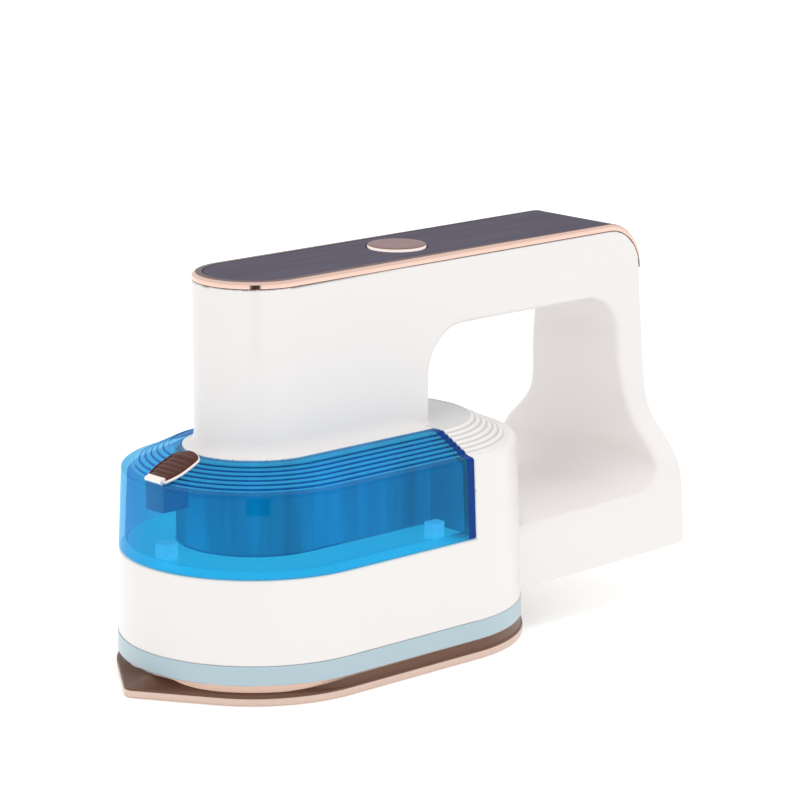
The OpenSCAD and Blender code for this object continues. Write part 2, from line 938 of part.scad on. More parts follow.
module filler_plug() {
    color([0.80, 0.81, 0.82])
    difference() {
        translate([neck_x, 0, 61.6]) cylinder(r = 3.4, h = 5);
        on_flap() translate([-30, -10, 0]) cube([40, 20, 10]);
    }
}

module flap_pin() {
    color([0.60, 0.61, 0.63])
    translate([hinge_x, 3.1, hinge_z]) rotate([90, 0, 0]) cylinder(r = 0.5, h = 6.2);
}

module spigot_seal() {
    color([0.20, 0.20, 0.21])
    translate([0, 0, port_z]) difference() {
        x_cylinder(4, -18.5, -16.5);
        x_cylinder(3, -20, -15);
    }
}

module slit_valve() {
    color([0.85, 0.85, 0.85])
    translate([0, 0, port_z]) difference() {
        x_cylinder(1.9, -19, -17);
        x_cylinder(0.7, -20, -16);
    }
}

soleplate();
heater_casting();
heating_element();
element_terminals();
chamber_gasket();
chamber_cover();
chamber_screws();
steam_nozzle();
thermostat();
thermal_fuse();
heat_shield();
casting_screws();
main_housing();
rear_cover();
rear_cover_screws();
power_inlet();
inlet_pins();
mains_wires();
heater_wires();
trim_ring();
top_panel();
steam_button();
button_spring();
micro_switch();
switch_plunger();
control_board();
board_screws();
pump_body();
pump_coil();
pump_bracket();
pump_plunger();
pump_spring();
inlet_hose();
outlet_hose();
valve_socket();
inlet_needle();
water_tank();
tank_lid();
filler_flap();
filler_plug();
flap_pin();
spigot_seal();
slit_valve();
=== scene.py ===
"""Visual model of a small handheld steam iron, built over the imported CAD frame.

Lengths inside the script are millimetres in the CAD frame (+X to the heel, +Z up, nose at -X);
meshes are scaled to metres when they are made.
"""
import json
import math
from functools import reduce

import bmesh
import bpy
import numpy as np
from mathutils import Matrix, Vector


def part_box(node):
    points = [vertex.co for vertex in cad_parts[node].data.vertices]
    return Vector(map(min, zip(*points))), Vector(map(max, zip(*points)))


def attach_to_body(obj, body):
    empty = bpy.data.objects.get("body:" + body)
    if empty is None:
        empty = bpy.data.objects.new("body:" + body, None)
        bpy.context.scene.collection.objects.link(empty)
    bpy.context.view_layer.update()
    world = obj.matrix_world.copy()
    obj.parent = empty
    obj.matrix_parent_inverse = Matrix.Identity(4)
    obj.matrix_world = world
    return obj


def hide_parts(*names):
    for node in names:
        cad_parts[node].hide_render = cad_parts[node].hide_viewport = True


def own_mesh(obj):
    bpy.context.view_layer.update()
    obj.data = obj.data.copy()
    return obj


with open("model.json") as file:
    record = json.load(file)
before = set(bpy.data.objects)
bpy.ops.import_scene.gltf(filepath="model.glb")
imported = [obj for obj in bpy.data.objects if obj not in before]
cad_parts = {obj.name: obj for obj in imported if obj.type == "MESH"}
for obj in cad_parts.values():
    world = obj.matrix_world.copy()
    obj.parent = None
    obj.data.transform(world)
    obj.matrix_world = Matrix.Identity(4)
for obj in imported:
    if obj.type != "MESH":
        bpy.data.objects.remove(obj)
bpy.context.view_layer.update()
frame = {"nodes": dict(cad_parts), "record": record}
MM = 0.001


def cad_box(node):
    """Lowest and highest corner of a CAD node in millimetres."""
    low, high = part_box(node)
    return [v / MM for v in low], [v / MM for v in high]


# ---------------- sizes from the frame
HOUSING_LOW, HOUSING_HIGH = cad_box("main_housing")
SHIELD_LOW, SHIELD_HIGH = cad_box("heat_shield")
TANK_LOW, TANK_HIGH = cad_box("water_tank")
BUTTON_LOW, BUTTON_HIGH = cad_box("steam_button")
TRIM_LOW, TRIM_HIGH = cad_box("trim_ring")
COVER_LOW, COVER_HIGH = cad_box("rear_cover")
FLAP_PIN_LOW, FLAP_PIN_HIGH = cad_box("flap_pin")
SOLE_HIGH = cad_box("soleplate")[1]
STEP_HIGH = cad_box("heater_casting")[1]

BASE_R = TANK_HIGH[1]                       # half width of the body at the deck
SPINE = SHIELD_HIGH[0] - SHIELD_HIGH[1]     # distance between the two round ends' centres
DECK_Z = TANK_LOW[2] - 0.1
SKIRT_Z = SHIELD_LOW[2]
SKIRT_R = SHIELD_HIGH[1]
BODY_Z = HOUSING_LOW[2]
RIM_Z = HOUSING_HIGH[2]
HEEL_X = HOUSING_HIGH[0]
SEAM_X = TANK_HIGH[0]                       # rear end of the tank
COLUMN_R = -TRIM_LOW[0]
TRIM_TOP = TRIM_HIGH[2]
BUTTON_X = (BUTTON_LOW[0] + BUTTON_HIGH[0]) / 2
BUTTON_R = (BUTTON_HIGH[0] - BUTTON_LOW[0]) / 2 - 1.3

# Sizes the boxes don't give; they match the CAD or the photo
CROWN_Z = 66.7                              # flat crown inside the ribs
SHOULDER_Z = 60.7                           # foot of the ribbed slope
SHOULDER_R = BASE_R - 1.1
CORE_R = 21.6                               # white core inside the tank's horseshoe
CORNER_R = 13.4                             # outer corner above the heel
HANDLE_TAPER = 0.5 / 127                    # narrowing of the grip, each side, per mm of length
OPEN_FRONT, OPEN_REAR, OPEN_TOP = 52.8, HEEL_X - 11.0, 95.0
PORT_Z = 42.0                               # height of the tank's water outlet
INLET_Z = 27.0                              # height of the mains inlet on the heel
COVER_SCREWS = ((31.0, 27.0), (10.0, 92.0))  # (half gap, height) of the two pairs of screws
FILL_X, FILL_R = -32.2, 3.5                 # the filling hole, under the flap's plug
TRIM_NOSE_W = 2.9                           # width of the trim at the round front end
TRIM_REAR_W = 1.1                           # and where it ends on the rear corner
TRIM_LIFT = 0.4                             # share by which the trim's inner edge stands higher


# ---------------- materials
def linear(rgb):
    """sRGB 0-255 to linear."""
    out = []
    for v in rgb:
        c = v / 255
        out.append(c / 12.92 if c <= 0.04045 else ((c + 0.055) / 1.055) ** 2.4)
    return (*out, 1.0)


def fill(tree, node, inputs):
    """Sets a shader node's inputs by name or number: a value, or another node's output."""
    for key, value in inputs.items():
        if isinstance(value, bpy.types.NodeSocket):
            tree.links.new(value, node.inputs[key])
        else:
            node.inputs[key].default_value = value
    return node


def add_node(tree, kind, inputs, operation=None):
    """A new shader node with its inputs filled. Returns its first output."""
    node = tree.nodes.new("ShaderNode" + kind)
    if operation:
        node.operation = operation
    return fill(tree, node, inputs).outputs[0]


def new_material(name, rgb, alpha=1.0):
    """An empty node material, its tree and its object coordinates."""
    mat = bpy.data.materials.new(name)
    mat.use_nodes = True
    mat.diffuse_color = (*linear(rgb)[:3], alpha)
    coords = mat.node_tree.nodes.new("ShaderNodeTexCoord").outputs["Object"]
    return mat, mat.node_tree, coords


def principled(name, rgb, rough=0.4, metal=0.0, coat=0.0, vary=0.03, grain=900.0, bump=0.0,
               spec=0.5, sub=0.0, glow=0.0, stretch=None):
    """A principled material with fine procedural colour variation and surface grain."""
    mat, tree, coords = new_material(name, rgb)
    low, high = (0.34, 0.66) if stretch else (0.0, 1.0)
    if stretch:
        coords = add_node(tree, "VectorMath", {0: coords, 1: stretch}, "MULTIPLY")
    noise = add_node(tree, "TexNoise", {"Vector": coords, "Scale": grain, "Detail": 3.0})
    shade = add_node(tree, "MapRange", {"Value": noise, "From Min": low, "From Max": high,
                                        "To Min": 1.0 - vary, "To Max": 1.0 + vary})
    tint = add_node(tree, "VectorMath", {0: linear(rgb)[:3], "Scale": shade}, "SCALE")
    inputs = {"Base Color": tint, "Roughness": rough, "Metallic": metal, "Coat Weight": coat,
              "Coat Roughness": 0.06, "Specular IOR Level": spec}
    if bump:
        inputs["Normal"] = add_node(tree, "Bump", {"Strength": bump, "Distance": 0.0002,
                                                   "Height": noise})
    if glow:
        inputs.update({"Emission Color": tint, "Emission Strength": glow})
    if sub:
        inputs.update({"Subsurface Weight": sub, "Subsurface Radius": (0.004, 0.004, 0.004)})
    fill(tree, tree.nodes["Principled BSDF"], inputs)
    return mat


def tinted_plastic(name, rgb, edge_rgb, body, body_share):
    """Clear coloured plastic: see-through tint that deepens at grazing angles, body and gloss."""
    mat, tree, coords = new_material(name, rgb, 0.6)
    tree.nodes.remove(tree.nodes["Principled BSDF"])
    noise = add_node(tree, "TexNoise", {"Vector": coords, "Scale": 45.0})
    facing = tree.nodes.new("ShaderNodeLayerWeight")
    facing.inputs["Blend"].default_value = 0.35
    depth = add_node(tree, "Math", {0: noise, 1: 0.12, 2: facing.outputs["Facing"]},
                     "MULTIPLY_ADD")
    tint = tree.nodes.new("ShaderNodeMix")
    tint.data_type = "RGBA"
    fill(tree, tint, {"Factor": depth, "A": linear(rgb), "B": linear(edge_rgb)})
    clear = add_node(tree, "BsdfTransparent", {"Color": tint.outputs["Result"]})
    solid = add_node(tree, "BsdfDiffuse", {"Color": linear(body)})
    inside = add_node(tree, "MixShader", {0: body_share, 1: clear, 2: solid})
    gloss = add_node(tree, "BsdfGlossy", {"Roughness": 0.04, "Color": (0.35, 0.68, 1.0, 1.0)})
    fresnel = add_node(tree, "Fresnel", {"IOR": 1.4})
    geometry = tree.nodes.new("ShaderNodeNewGeometry")
    front_only = add_node(tree, "Math", {0: fresnel, 1: geometry.outputs["Backfacing"]},
                          "SUBTRACT")
    front_only.node.use_clamp = True
    skin = add_node(tree, "MixShader", {0: front_only, 1: inside, 2: gloss})
    tree.links.new(skin, tree.nodes["Material Output"].inputs["Surface"])
    return mat


WHITE = principled("glossy white plastic", (235, 231, 229), 0.3, coat=0.3, vary=0.004, bump=0.01)
GREY = principled("pale grey plastic", (174, 195, 204), 0.35, coat=0.2, vary=0.01, bump=0.01)
# Painted shadow: dark grey for the thin ring in the seam between the white housing and the band.
PAINTED_SEAM_SHADOW = principled("seam shadow", (118, 128, 134), 0.6, vary=0.02, spec=0.1)
# Painted shade: a greyer copy of the white plastic for the crown behind the tank, under the handle, and
# for the grooves between the white ribs.
PAINTED_SHADE_WHITE = principled("shaded white plastic", (208, 209, 209), 0.35, coat=0.3, vary=0.004)
PANEL = principled("dark glossy panel", (94, 90, 102), 0.3, vary=0.06, grain=260, spec=0.0,
                   stretch=(0.12, 1.0, 1.0))
ROSE = principled("polished rose gold", (243, 208, 193), 0.13, metal=1.0, vary=0.02, bump=0.005)
TRIM_TOP_MAT = principled("trim top edge", (88, 62, 60), 0.4, metal=0.2, vary=0.03, bump=0.005)
# Painted highlight: a lighter, faintly glowing rose gold for the button's edge, the flap's lip and the
# flap's near rim.
PAINTED_HIGHLIGHT_ROSE = principled("rose gold with painted highlight", (255, 240, 232), 0.12, metal=0.8, vary=0.02, bump=0.005,
                         glow=0.12)
SATIN = principled("satin rose gold", (148, 110, 106), 0.36, metal=1.0, vary=0.05, grain=500, bump=0.03)
# Painted reflection: rose gold darkened to stand for the dark surroundings it mirrors; used for the
# flap's leaf and its far rim.
FLAP_DARK_REFLECTION = principled("rose gold darkened by painted reflection", (98, 62, 54), 0.4, metal=0.9, vary=0.06, grain=500, bump=0.03)
SOLE_RIM = principled("sole rim", (216, 190, 176), 0.3, metal=0.6, vary=0.03, bump=0.01)
SOLE_TOP = principled("sole flange", (110, 76, 58), 0.4, metal=0.25, vary=0.04, grain=300, bump=0.02)
# Painted light: the casting under the band's overhang glows, to lift it out of the band's shadow.
PAINTED_LIGHT_CASTING = principled("rose casting, painted light", (222, 188, 170), 0.4, glow=0.4, vary=0.02, bump=0.02)
TANK = tinted_plastic("clear blue plastic", (202, 240, 250), (132, 206, 238), (6, 140, 205), 0.17)
# Painted shade: a darker, denser blue for the grooves between the tank's ribs.
TANK_GROOVE_SHADE = tinted_plastic("blue plastic groove, painted shade", (110, 180, 228), (90, 164, 220), (2, 96, 170), 0.25)
TANK_RIDGE = tinted_plastic("blue plastic ridge", (204, 238, 250), (150, 212, 244), (58, 192, 242), 0.4)
TANK_EDGE = tinted_plastic("blue plastic edge", (60, 110, 190), (50, 90, 170), (10, 54, 140), 0.7)
# Painted reflections: strong upright streaks in the inner wall's blue stand for reflections inside the
# tank.
TANK_WALL_PAINTED_STREAKS = principled("blue inner wall with painted reflections", (40, 170, 196), 0.35, vary=0.45, grain=110, spec=0.1,
                       stretch=(1.0, 1.0, 0.08))
# Painted light: the tank's floor and underside glow, standing for light let in through the clear
# plastic.
TANK_FLOOR_PAINTED_LIGHT = principled("blue tank floor, painted light", (104, 230, 234), 0.3, vary=0.05, grain=60,
                        glow=0.45)
TANK_UNDER_PAINTED_LIGHT = principled("blue tank underside, painted light", (72, 196, 226), 0.3, vary=0.05, grain=60,
                        glow=0.2)
# The same painted reflection streaks on the end wall.
TANK_END_PAINTED_STREAKS = principled("blue end wall with painted reflections", (58, 178, 192), 0.35, vary=0.3, grain=90, spec=0.1,
                      stretch=(1.0, 1.0, 0.1))
# Painted light: the spigot and the bosses glow so they show bright through the tank.
PAINTED_LIGHT_FITTINGS = principled("pale blue fittings, painted light", (160, 238, 248), 0.25, coat=0.5, vary=0.03,
                        glow=0.5)
NECK = principled("deep blue neck", (40, 104, 160), 0.25, coat=0.5, vary=0.12, grain=200)
CASTING = principled("die-cast aluminium", (182, 172, 166), 0.45, metal=0.9, vary=0.06, bump=0.08)
STEEL = principled("zinc-plated steel", (176, 178, 182), 0.32, metal=1.0, vary=0.05, bump=0.03)
BRASS = principled("turned brass", (205, 168, 98), 0.28, metal=1.0, vary=0.04, bump=0.03)
COPPER = principled("enamelled winding", (188, 98, 52), 0.35, metal=0.7, vary=0.1, grain=1200,
                    bump=0.1)

# The record's material slots
SLOTS = {
    "sole_metal": SOLE_RIM, "rose_metal": ROSE, "button_metal": SATIN, "tank_blue": TANK,
    "white_plastic": WHITE, "grey_plastic": GREY, "dark_plastic": PANEL,
    "casting": CASTING, "steel": STEEL, "brass": BRASS, "winding": COPPER,
    "black_plastic": principled("black plastic", (28, 28, 30), 0.45, vary=0.05, bump=0.06),
    "seal_rubber": principled("red silicone", (150, 66, 52), 0.55, vary=0.05, bump=0.05),
    "dark_rubber": principled("dark rubber", (40, 40, 42), 0.6, vary=0.06, bump=0.06),
    "hose": principled("translucent hose", (208, 214, 214), 0.35, vary=0.03, bump=0.02, sub=0.3),
    "ceramic": principled("ceramic", (224, 219, 208), 0.5, vary=0.03, bump=0.04),
    "board": principled("circuit board", (28, 98, 58), 0.4, vary=0.1, grain=250, bump=0.02),
    "wire_brown": principled("brown wire", (92, 58, 40), 0.5, vary=0.05, bump=0.02),
    "wire_white": principled("sleeved wire", (204, 198, 188), 0.6, vary=0.06, bump=0.08),
}


# ---------------- mesh helpers
def attach(piece, body, slot, *nodes):
    """The piece moves with a body and stands in for some CAD nodes, which it hides. The slot is not
    used.
    """
    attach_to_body(piece, body)
    if nodes:
        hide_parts(*nodes)


def make(name, verts, faces, mats, face_mats=None, sharp=35.0):
    """Mesh object from millimetre vertices."""
    mesh = bpy.data.meshes.new(name)
    mesh.from_pydata([tuple(c * MM for c in v) for v in verts], [], faces)
    for mat in mats if isinstance(mats, (list, tuple)) else [mats]:
        mesh.materials.append(mat)
    mesh.polygons.foreach_set("use_smooth", [True] * len(mesh.polygons))
    if face_mats is not None:
        mesh.polygons.foreach_set("material_index", face_mats)
    mesh.validate()
    mesh.set_sharp_from_angle(angle=math.radians(sharp))
    mesh.update()
    obj = bpy.data.objects.new(name, mesh)
    bpy.context.scene.collection.objects.link(obj)
    return obj


def tube_faces(loops, count, closed=False):
    """Faces along equal loops of vertices, with an end face at both ends unless it is closed."""
    faces = []
    for i in range(loops if closed else loops - 1):
        a, b = i * count, (i + 1) % loops * count
        for k in range(count):
            m = (k + 1) % count
            faces.append((a + k, b + k, b + m, a + m))
    if not closed:
        faces.append(tuple(range(count)))
        faces.append(tuple((loops - 1) * count + k for k in reversed(range(count))))
    return faces


def rounded(points, radii, steps=6):
    """A closed outline with its corners rounded."""
    out = []
    n = len(points)
    for i, (point, radius) in enumerate(zip(points, radii)):
        p = np.array(point, float)
        if radius <= 0:
            out.append(tuple(p))
            continue
        a = np.array(points[i - 1], float) - p
        b = np.array(points[(i + 1) % n], float) - p
        la, lb = np.linalg.norm(a), np.linalg.norm(b)
        a, b = a / la, b / lb
        half = math.acos(max(-1, min(1, float(a @ b)))) / 2
        cut = min(radius / math.tan(half), 0.49 * la, 0.49 * lb)
        start, end = p + a * cut, p + b * cut
        for j in range(steps + 1):
            t = j / steps
            out.append(tuple((1 - t) ** 2 * start + 2 * t * (1 - t) * p + t * t * end))
    return out


def spine_stations(front_x=None, rear_x=None):
    """Points on the centre line and outward directions along the body's long round outline.

    With rear_x the path runs round the nose and stops at rear_x; with front_x it runs round the
    rear end; with neither it is the whole closed loop."""
    arc_steps, straight_steps = 72, 10
    out = []

    def arc(cx, a0, a1):
        for i in range(arc_steps + 1):
            a = math.radians(a0 + (a1 - a0) * i / arc_steps)
            out.append((cx, math.cos(a), math.sin(a)))

    def straight(x0, x1, side):
        for i in range(1, straight_steps):
            out.append((x0 + (x1 - x0) * i / straight_steps, 0.0, side))

    if rear_x is not None:
        out.append((rear_x, 0.0, 1.0))
        straight(rear_x, 0.0, 1.0)
        arc(0.0, 90, 270)
        straight(0.0, rear_x, -1.0)
        out.append((rear_x, 0.0, -1.0))
    elif front_x is not None:
        out.append((front_x, 0.0, -1.0))
        arc(SPINE, -90, 90)
        out.append((front_x, 0.0, 1.0))
    else:
        arc(0.0, 90, 270)
        straight(0.0, SPINE, -1.0)
        arc(SPINE, -90, 90)
        straight(SPINE, 0.0, 1.0)
    return out


def sweep(name, profile, stations, mat, closed):
    """Sweeps a closed (distance out, height) profile along the stations."""
    verts = [(cx + r * dx, r * dy, z) for cx, dx, dy in stations for r, z in profile]
    return outward(make(name, verts, tube_faces(len(stations), len(profile), closed), mat))


def spine_reach(x, y):
    """Distance of a point from the body's centre line, seen from above."""
    return math.hypot(x - min(max(x, 0), SPINE), y)


def rib_phase(reach):
    """Distance from the nearest groove between two ribs, in pitches."""
    return abs(((RIB_R0 - reach) / RIB_PITCH + 0.5) % 1.0 - 0.5)


def outward(obj):
    """Makes a closed mesh's faces point outwards."""
    bm = bmesh.new()
    bm.from_mesh(obj.data)
    bmesh.ops.recalc_face_normals(bm, faces=bm.faces)
    bm.to_mesh(obj.data)
    bm.free()
    return obj


def grid_solid(name, top, bottom, mat, sharp):
    """A closed sheet from two equal grids of points, top and bottom."""
    rows, cols = len(top), len(top[0])
    verts = [p for row in top for p in row] + [p for row in bottom for p in row]
    shift = rows * cols
    faces = []
    for i in range(rows - 1):
        for j in range(cols - 1):
            a = i * cols + j
            b, c, d = a + 1, a + cols + 1, a + cols
            faces.append((a, b, c, d))
            faces.append((shift + d, shift + c, shift + b, shift + a))
    edge = [(0, j) for j in range(cols)] + [(i, cols - 1) for i in range(1, rows)]
    edge += [(rows - 1, j) for j in range(cols - 2, -1, -1)]
    edge += [(i, 0) for i in range(rows - 2, 0, -1)]
    for (i0, j0), (i1, j1) in zip(edge, edge[1:] + edge[:1]):
        a, b = i0 * cols + j0, i1 * cols + j1
        faces.append((b, a, shift + a, shift + b))
    return outward(make(name, verts, faces, mat, None, sharp))


def lathe(name, profile, centre, axis, mat, steps=96, sharp=35.0):
    """Turns a (radius, height) profile about an axis through the centre. Ends on the axis."""
    direction = Vector(axis).normalized()
    turn = direction.to_track_quat("Z", "Y").to_matrix()
    verts, faces = [], []
    rings = []
    for r, h in profile:
        count = 1 if r < 1e-6 else steps
        rings.append(range(len(verts), len(verts) + count))
        for i in range(count):
            a = 2 * math.pi * i / steps
            point = Vector((r * math.cos(a), r * math.sin(a), h))
            verts.append(tuple(Vector(centre) + turn @ point))
    for lower, upper in zip(rings, rings[1:]):
        for i in range(steps):
            j = (i + 1) % steps
            if len(lower) == 1:
                faces.append((lower[0], upper[i], upper[j]))
            elif len(upper) == 1:
                faces.append((lower[i], lower[j], upper[0]))
            else:
                faces.append((lower[i], lower[j], upper[j], upper[i]))
    return outward(make(name, verts, faces, mat, None, sharp))


def cut_with(obj, cutters):
    """Subtracts closed meshes from a piece for good."""
    for cutter in cutters:
        mod = obj.modifiers.new("cut", "BOOLEAN")
        mod.operation = "DIFFERENCE"
        mod.solver = "EXACT"
        mod.object = cutter
    graph = bpy.context.evaluated_depsgraph_get()
    mesh = bpy.data.meshes.new_from_object(obj.evaluated_get(graph))
    obj.modifiers.clear()
    obj.data = mesh
    mesh.polygons.foreach_set("use_smooth", [True] * len(mesh.polygons))
    mesh.set_sharp_from_angle(angle=math.radians(35))
    for cutter in cutters:
        bpy.data.objects.remove(cutter)


# ---------------- smooth solids from a field
def meet(a, b, r):
    """Intersection of two fields with a round edge of radius r."""
    return np.minimum(np.maximum(a, b), -r) + np.hypot(np.maximum(a + r, 0), np.maximum(b + r, 0))


def join(a, b, r):
    """Union of two fields with a round fillet of radius r."""
    return np.maximum(np.minimum(a, b), r) - np.hypot(np.maximum(r - a, 0), np.maximum(r - b, 0))


def ease(x, a, b):
    """Smooth step from 0 at a to 1 at b."""
    t = np.clip((x - a) / (b - a), 0, 1)
    return t * t * (3 - 2 * t)


def skin_of(name, field, low, high, step, mat):
    """Meshes a field's zero surface: one vertex per crossed cell, moved onto the surface."""
    axes = [np.arange(low[i], high[i] + step, step) for i in range(3)]
    grid = np.meshgrid(*axes, indexing="ij")
    values = field(*grid)
    solid = values < 0
    corners = [(i, j, k) for i in (0, 1) for j in (0, 1) for k in (0, 1)]
    shape = [n - 1 for n in values.shape]

    def part(array, c):
        return array[c[0]:c[0] + shape[0], c[1]:c[1] + shape[1], c[2]:c[2] + shape[2]]

    total = sum(part(solid, c).astype(np.int8) for c in corners)
    cells = np.argwhere((total > 0) & (total < 8))
    number = np.full(shape, -1, np.int64)
    number[tuple(cells.T)] = np.arange(len(cells))
    value = np.stack([values[tuple((cells + np.array(c)).T)] for c in corners], 1)
    place = np.zeros((len(cells), 3))
    hits = np.zeros(len(cells))
    for i, a in enumerate(corners):
        for j, b in enumerate(corners):
            if j <= i or sum(abs(p - q) for p, q in zip(a, b)) != 1:
                continue
            crossed = (value[:, i] < 0) != (value[:, j] < 0)
            t = np.where(crossed, value[:, i] / np.where(crossed, value[:, i] - value[:, j], 1), 0)
            point = np.array(a)[None] + t[:, None] * (np.array(b) - np.array(a))[None]
            place += np.where(crossed[:, None], point, 0)
            hits += crossed
    points = (cells + place / hits[:, None]) * step + np.array([ax[0] for ax in axes])
    faces = []
    for axis in range(3):
        u, v = (axis + 1) % 3, (axis + 2) % 3
        last = solid.shape[axis] - 1
        a, b = solid.take(range(last), axis), solid.take(range(1, last + 1), axis)
        edges = np.argwhere(a != b)
        keep = (edges[:, u] > 0) & (edges[:, v] > 0)
        keep &= (edges[:, u] < values.shape[u] - 1) & (edges[:, v] < values.shape[v] - 1)
        edges = edges[keep]
        flip = ~a[tuple(edges.T)]
        step_u, step_v = np.eye(3, dtype=int)[[u, v]]
        ring = [edges - step_u - step_v, edges - step_v, edges, edges - step_u]
        quad = np.stack([number[tuple(r.T)] for r in ring], 1)
        quad[flip] = quad[flip][:, ::-1]
        faces.append(quad)
    faces = np.concatenate(faces)

    def slope(p, h=0.1):
        moves = h * np.eye(3)
        return np.stack([field(*(p + d).T) - field(*(p - d).T) for d in moves], 1) / (2 * h)

    for _ in range(3):
        g = slope(points)
        points = points - (field(*points.T) / np.maximum((g * g).sum(1), 0.2))[:, None] * g
    g = slope(points)
    g /= np.maximum(np.linalg.norm(g, axis=1), 1e-6)[:, None]
    mesh = bpy.data.meshes.new(name)
    mesh.vertices.add(len(points))
    mesh.vertices.foreach_set("co", (points * MM).ravel())
    mesh.loops.add(faces.size)
    mesh.loops.foreach_set("vertex_index", faces.ravel())
    mesh.polygons.add(len(faces))
    mesh.polygons.foreach_set("loop_start", np.arange(0, faces.size, 4))
    mesh.polygons.foreach_set("loop_total", np.full(len(faces), 4))
    mesh.update(calc_edges=True)
    mesh.polygons.foreach_set("use_smooth", np.ones(len(faces), bool))
    mesh.normals_split_custom_set_from_vertices(g)
    mesh.materials.append(mat)
    obj = bpy.data.objects.new(name, mesh)
    bpy.context.scene.collection.objects.link(obj)
    return obj


# ---------------- ribbed slope
RIB_R0, RIB_PITCH, RIB_COUNT = 35.5, 1.73, 7
RIB_Z0, RIB_SLOPE = 61.56, 0.488
SLOPE_R = 36.4                              # outer edge of the slope


def rib_line(depth):
    """Points up the ribbed slope from the outermost groove to the crown."""
    samples = 10                            # per rib
    out = []
    for i in range((RIB_COUNT - 1) * samples + 1):
        r = RIB_R0 - RIB_PITCH * i / samples
        wave = abs(math.sin(math.pi * i / samples)) ** 0.7
        out.append((r, RIB_Z0 + RIB_SLOPE * (RIB_R0 - r) - 0.15 + depth * wave))
    return out


# ---------------- white housing
BAR_X = 78.0                                # where the lower bar leaves the base
BAR_FRONT, BAR_REAR = 29.6, 38.9            # half width of the lower bar there and at the heel
BAR_LENGTH, OPEN_LENGTH = 63.0, 52.0        # from BAR_X to the heel and to the opening's rear
BAR_LOW_Z, BAR_LOW_RISE = 12.9, 5.1         # the bar's underside at BAR_X and its rise
BAR_TOP_Z, BAR_TOP_RISE = 32.6, 4.0         # the opening's floor at BAR_X and its rise
BAR_TILT = 0.997                            # evens out both slopes' distances
GRIP_HALF = 17.5                            # the grip's half width where the heel leg begins
LEG_HALF, LEG_Z, LEG_TAPER = 20.3, 71, 0.085  # half width of the heel leg at a height; its taper
FLARE, FLARE_Z, FLARE_SOFT = 14.6, 51.4, 3.8  # the flare of its foot: width, height, softness
OPEN_FRONT_R, OPEN_REAR_R, OPEN_FOOT_R = 14.0, 11.0, 9.0  # corners of the finger opening
BLEND = 1.2                                 # sharpness of the bar's blend into the leg
LEAN, LEAN_TOP, LEAN_FOOT = 2.4, 78, 54     # the opening leans back towards the leg's foot
MOULD_FOOT = BODY_Z - 0.9                   # lower edge of the housing, inside the skirt
HOUSING_WALL = 2.9                          # wall round the hollows of the column and grip
SCREW_R, SCREW_DEEP = 3.1, 3.0              # hollows behind the rear plate's screws


def wall_r(z):
    """Radius of the drafted side wall at a height."""
    low = SKIRT_R + (BASE_R - SKIRT_R) * np.clip((z - BODY_Z) / (DECK_Z - BODY_Z), 0, 1)
    return low + (SHOULDER_R - BASE_R) * np.clip((z - DECK_Z) / (SHOULDER_Z - DECK_Z), 0, 1)


def heel_half(z):
    """Half width of the heel leg: a slight taper, plus an S-shaped flare at its foot."""
    return LEG_HALF - LEG_TAPER * (z - LEG_Z) + FLARE / (1 + np.exp((z - FLARE_Z) / FLARE_SOFT))


def grip_half(x):
    """Half width of the grip, which tapers towards the heel."""
    return COLUMN_R - HANDLE_TAPER * x


def half_width(x, z):
    """Half width of the loop: slim grip, flared heel leg, wedge-shaped lower bar."""
    leg = np.maximum(heel_half(z), GRIP_HALF)
    upper = grip_half(x) + ease(x, 104, 132) * (leg - GRIP_HALF) * ease(z, 114.5, 96)
    bar = BAR_FRONT + (BAR_REAR - BAR_FRONT) * (x - BAR_X) / (HEEL_X - BAR_X)
    lower = -np.logaddexp(-bar * BLEND, -leg * BLEND) / BLEND + 0.25
    t = ease(z, 46, 62)
    return lower * (1 - t) + upper * t


def loop_field(x, y, z):
    """Column, grip, heel leg and lower bar round the finger opening."""
    side = np.abs(y)
    slope_z = (half_width(x, z + 0.2) - half_width(x, z - 0.2)) / 0.4
    flank = (side - half_width(x, z)) / np.sqrt(1 + slope_z ** 2)
    in_tank = (1 - ease(x, SEAM_X + 0.4, SEAM_X + 1.4)) * ease(z, DECK_Z - 1.0, DECK_Z)
    in_tank = in_tank * ease(z, 64.5, 62.5)
    flank = np.maximum(flank, np.where(in_tank > 0.5, side - CORE_R + 0.3, flank))
    flank = np.where(x < 0, np.hypot(x, y) - COLUMN_R, flank)
    under = (BAR_LOW_Z + BAR_LOW_RISE * (x - BAR_X) / BAR_LENGTH - z) * BAR_TILT
    outer = meet(meet(z - RIM_Z, x - HEEL_X, CORNER_R), under, 2.0)
    floor = (BAR_TOP_Z + BAR_TOP_RISE * (x - BAR_X) / OPEN_LENGTH - z) * BAR_TILT
    lean = LEAN * ease(z, LEAN_TOP, LEAN_FOOT)
    front, rear, top = OPEN_FRONT - x, x - OPEN_REAR - lean, z - OPEN_TOP
    opening = reduce(np.maximum, [meet(front, top, OPEN_FRONT_R), meet(rear, top, OPEN_REAR_R),
                                  meet(rear, floor, OPEN_FOOT_R), floor])
    edge = 0.25 + 0.75 * ease(z, 106, 98)
    return np.maximum(meet(-opening, flank, 2.4), meet(outer, flank, edge))


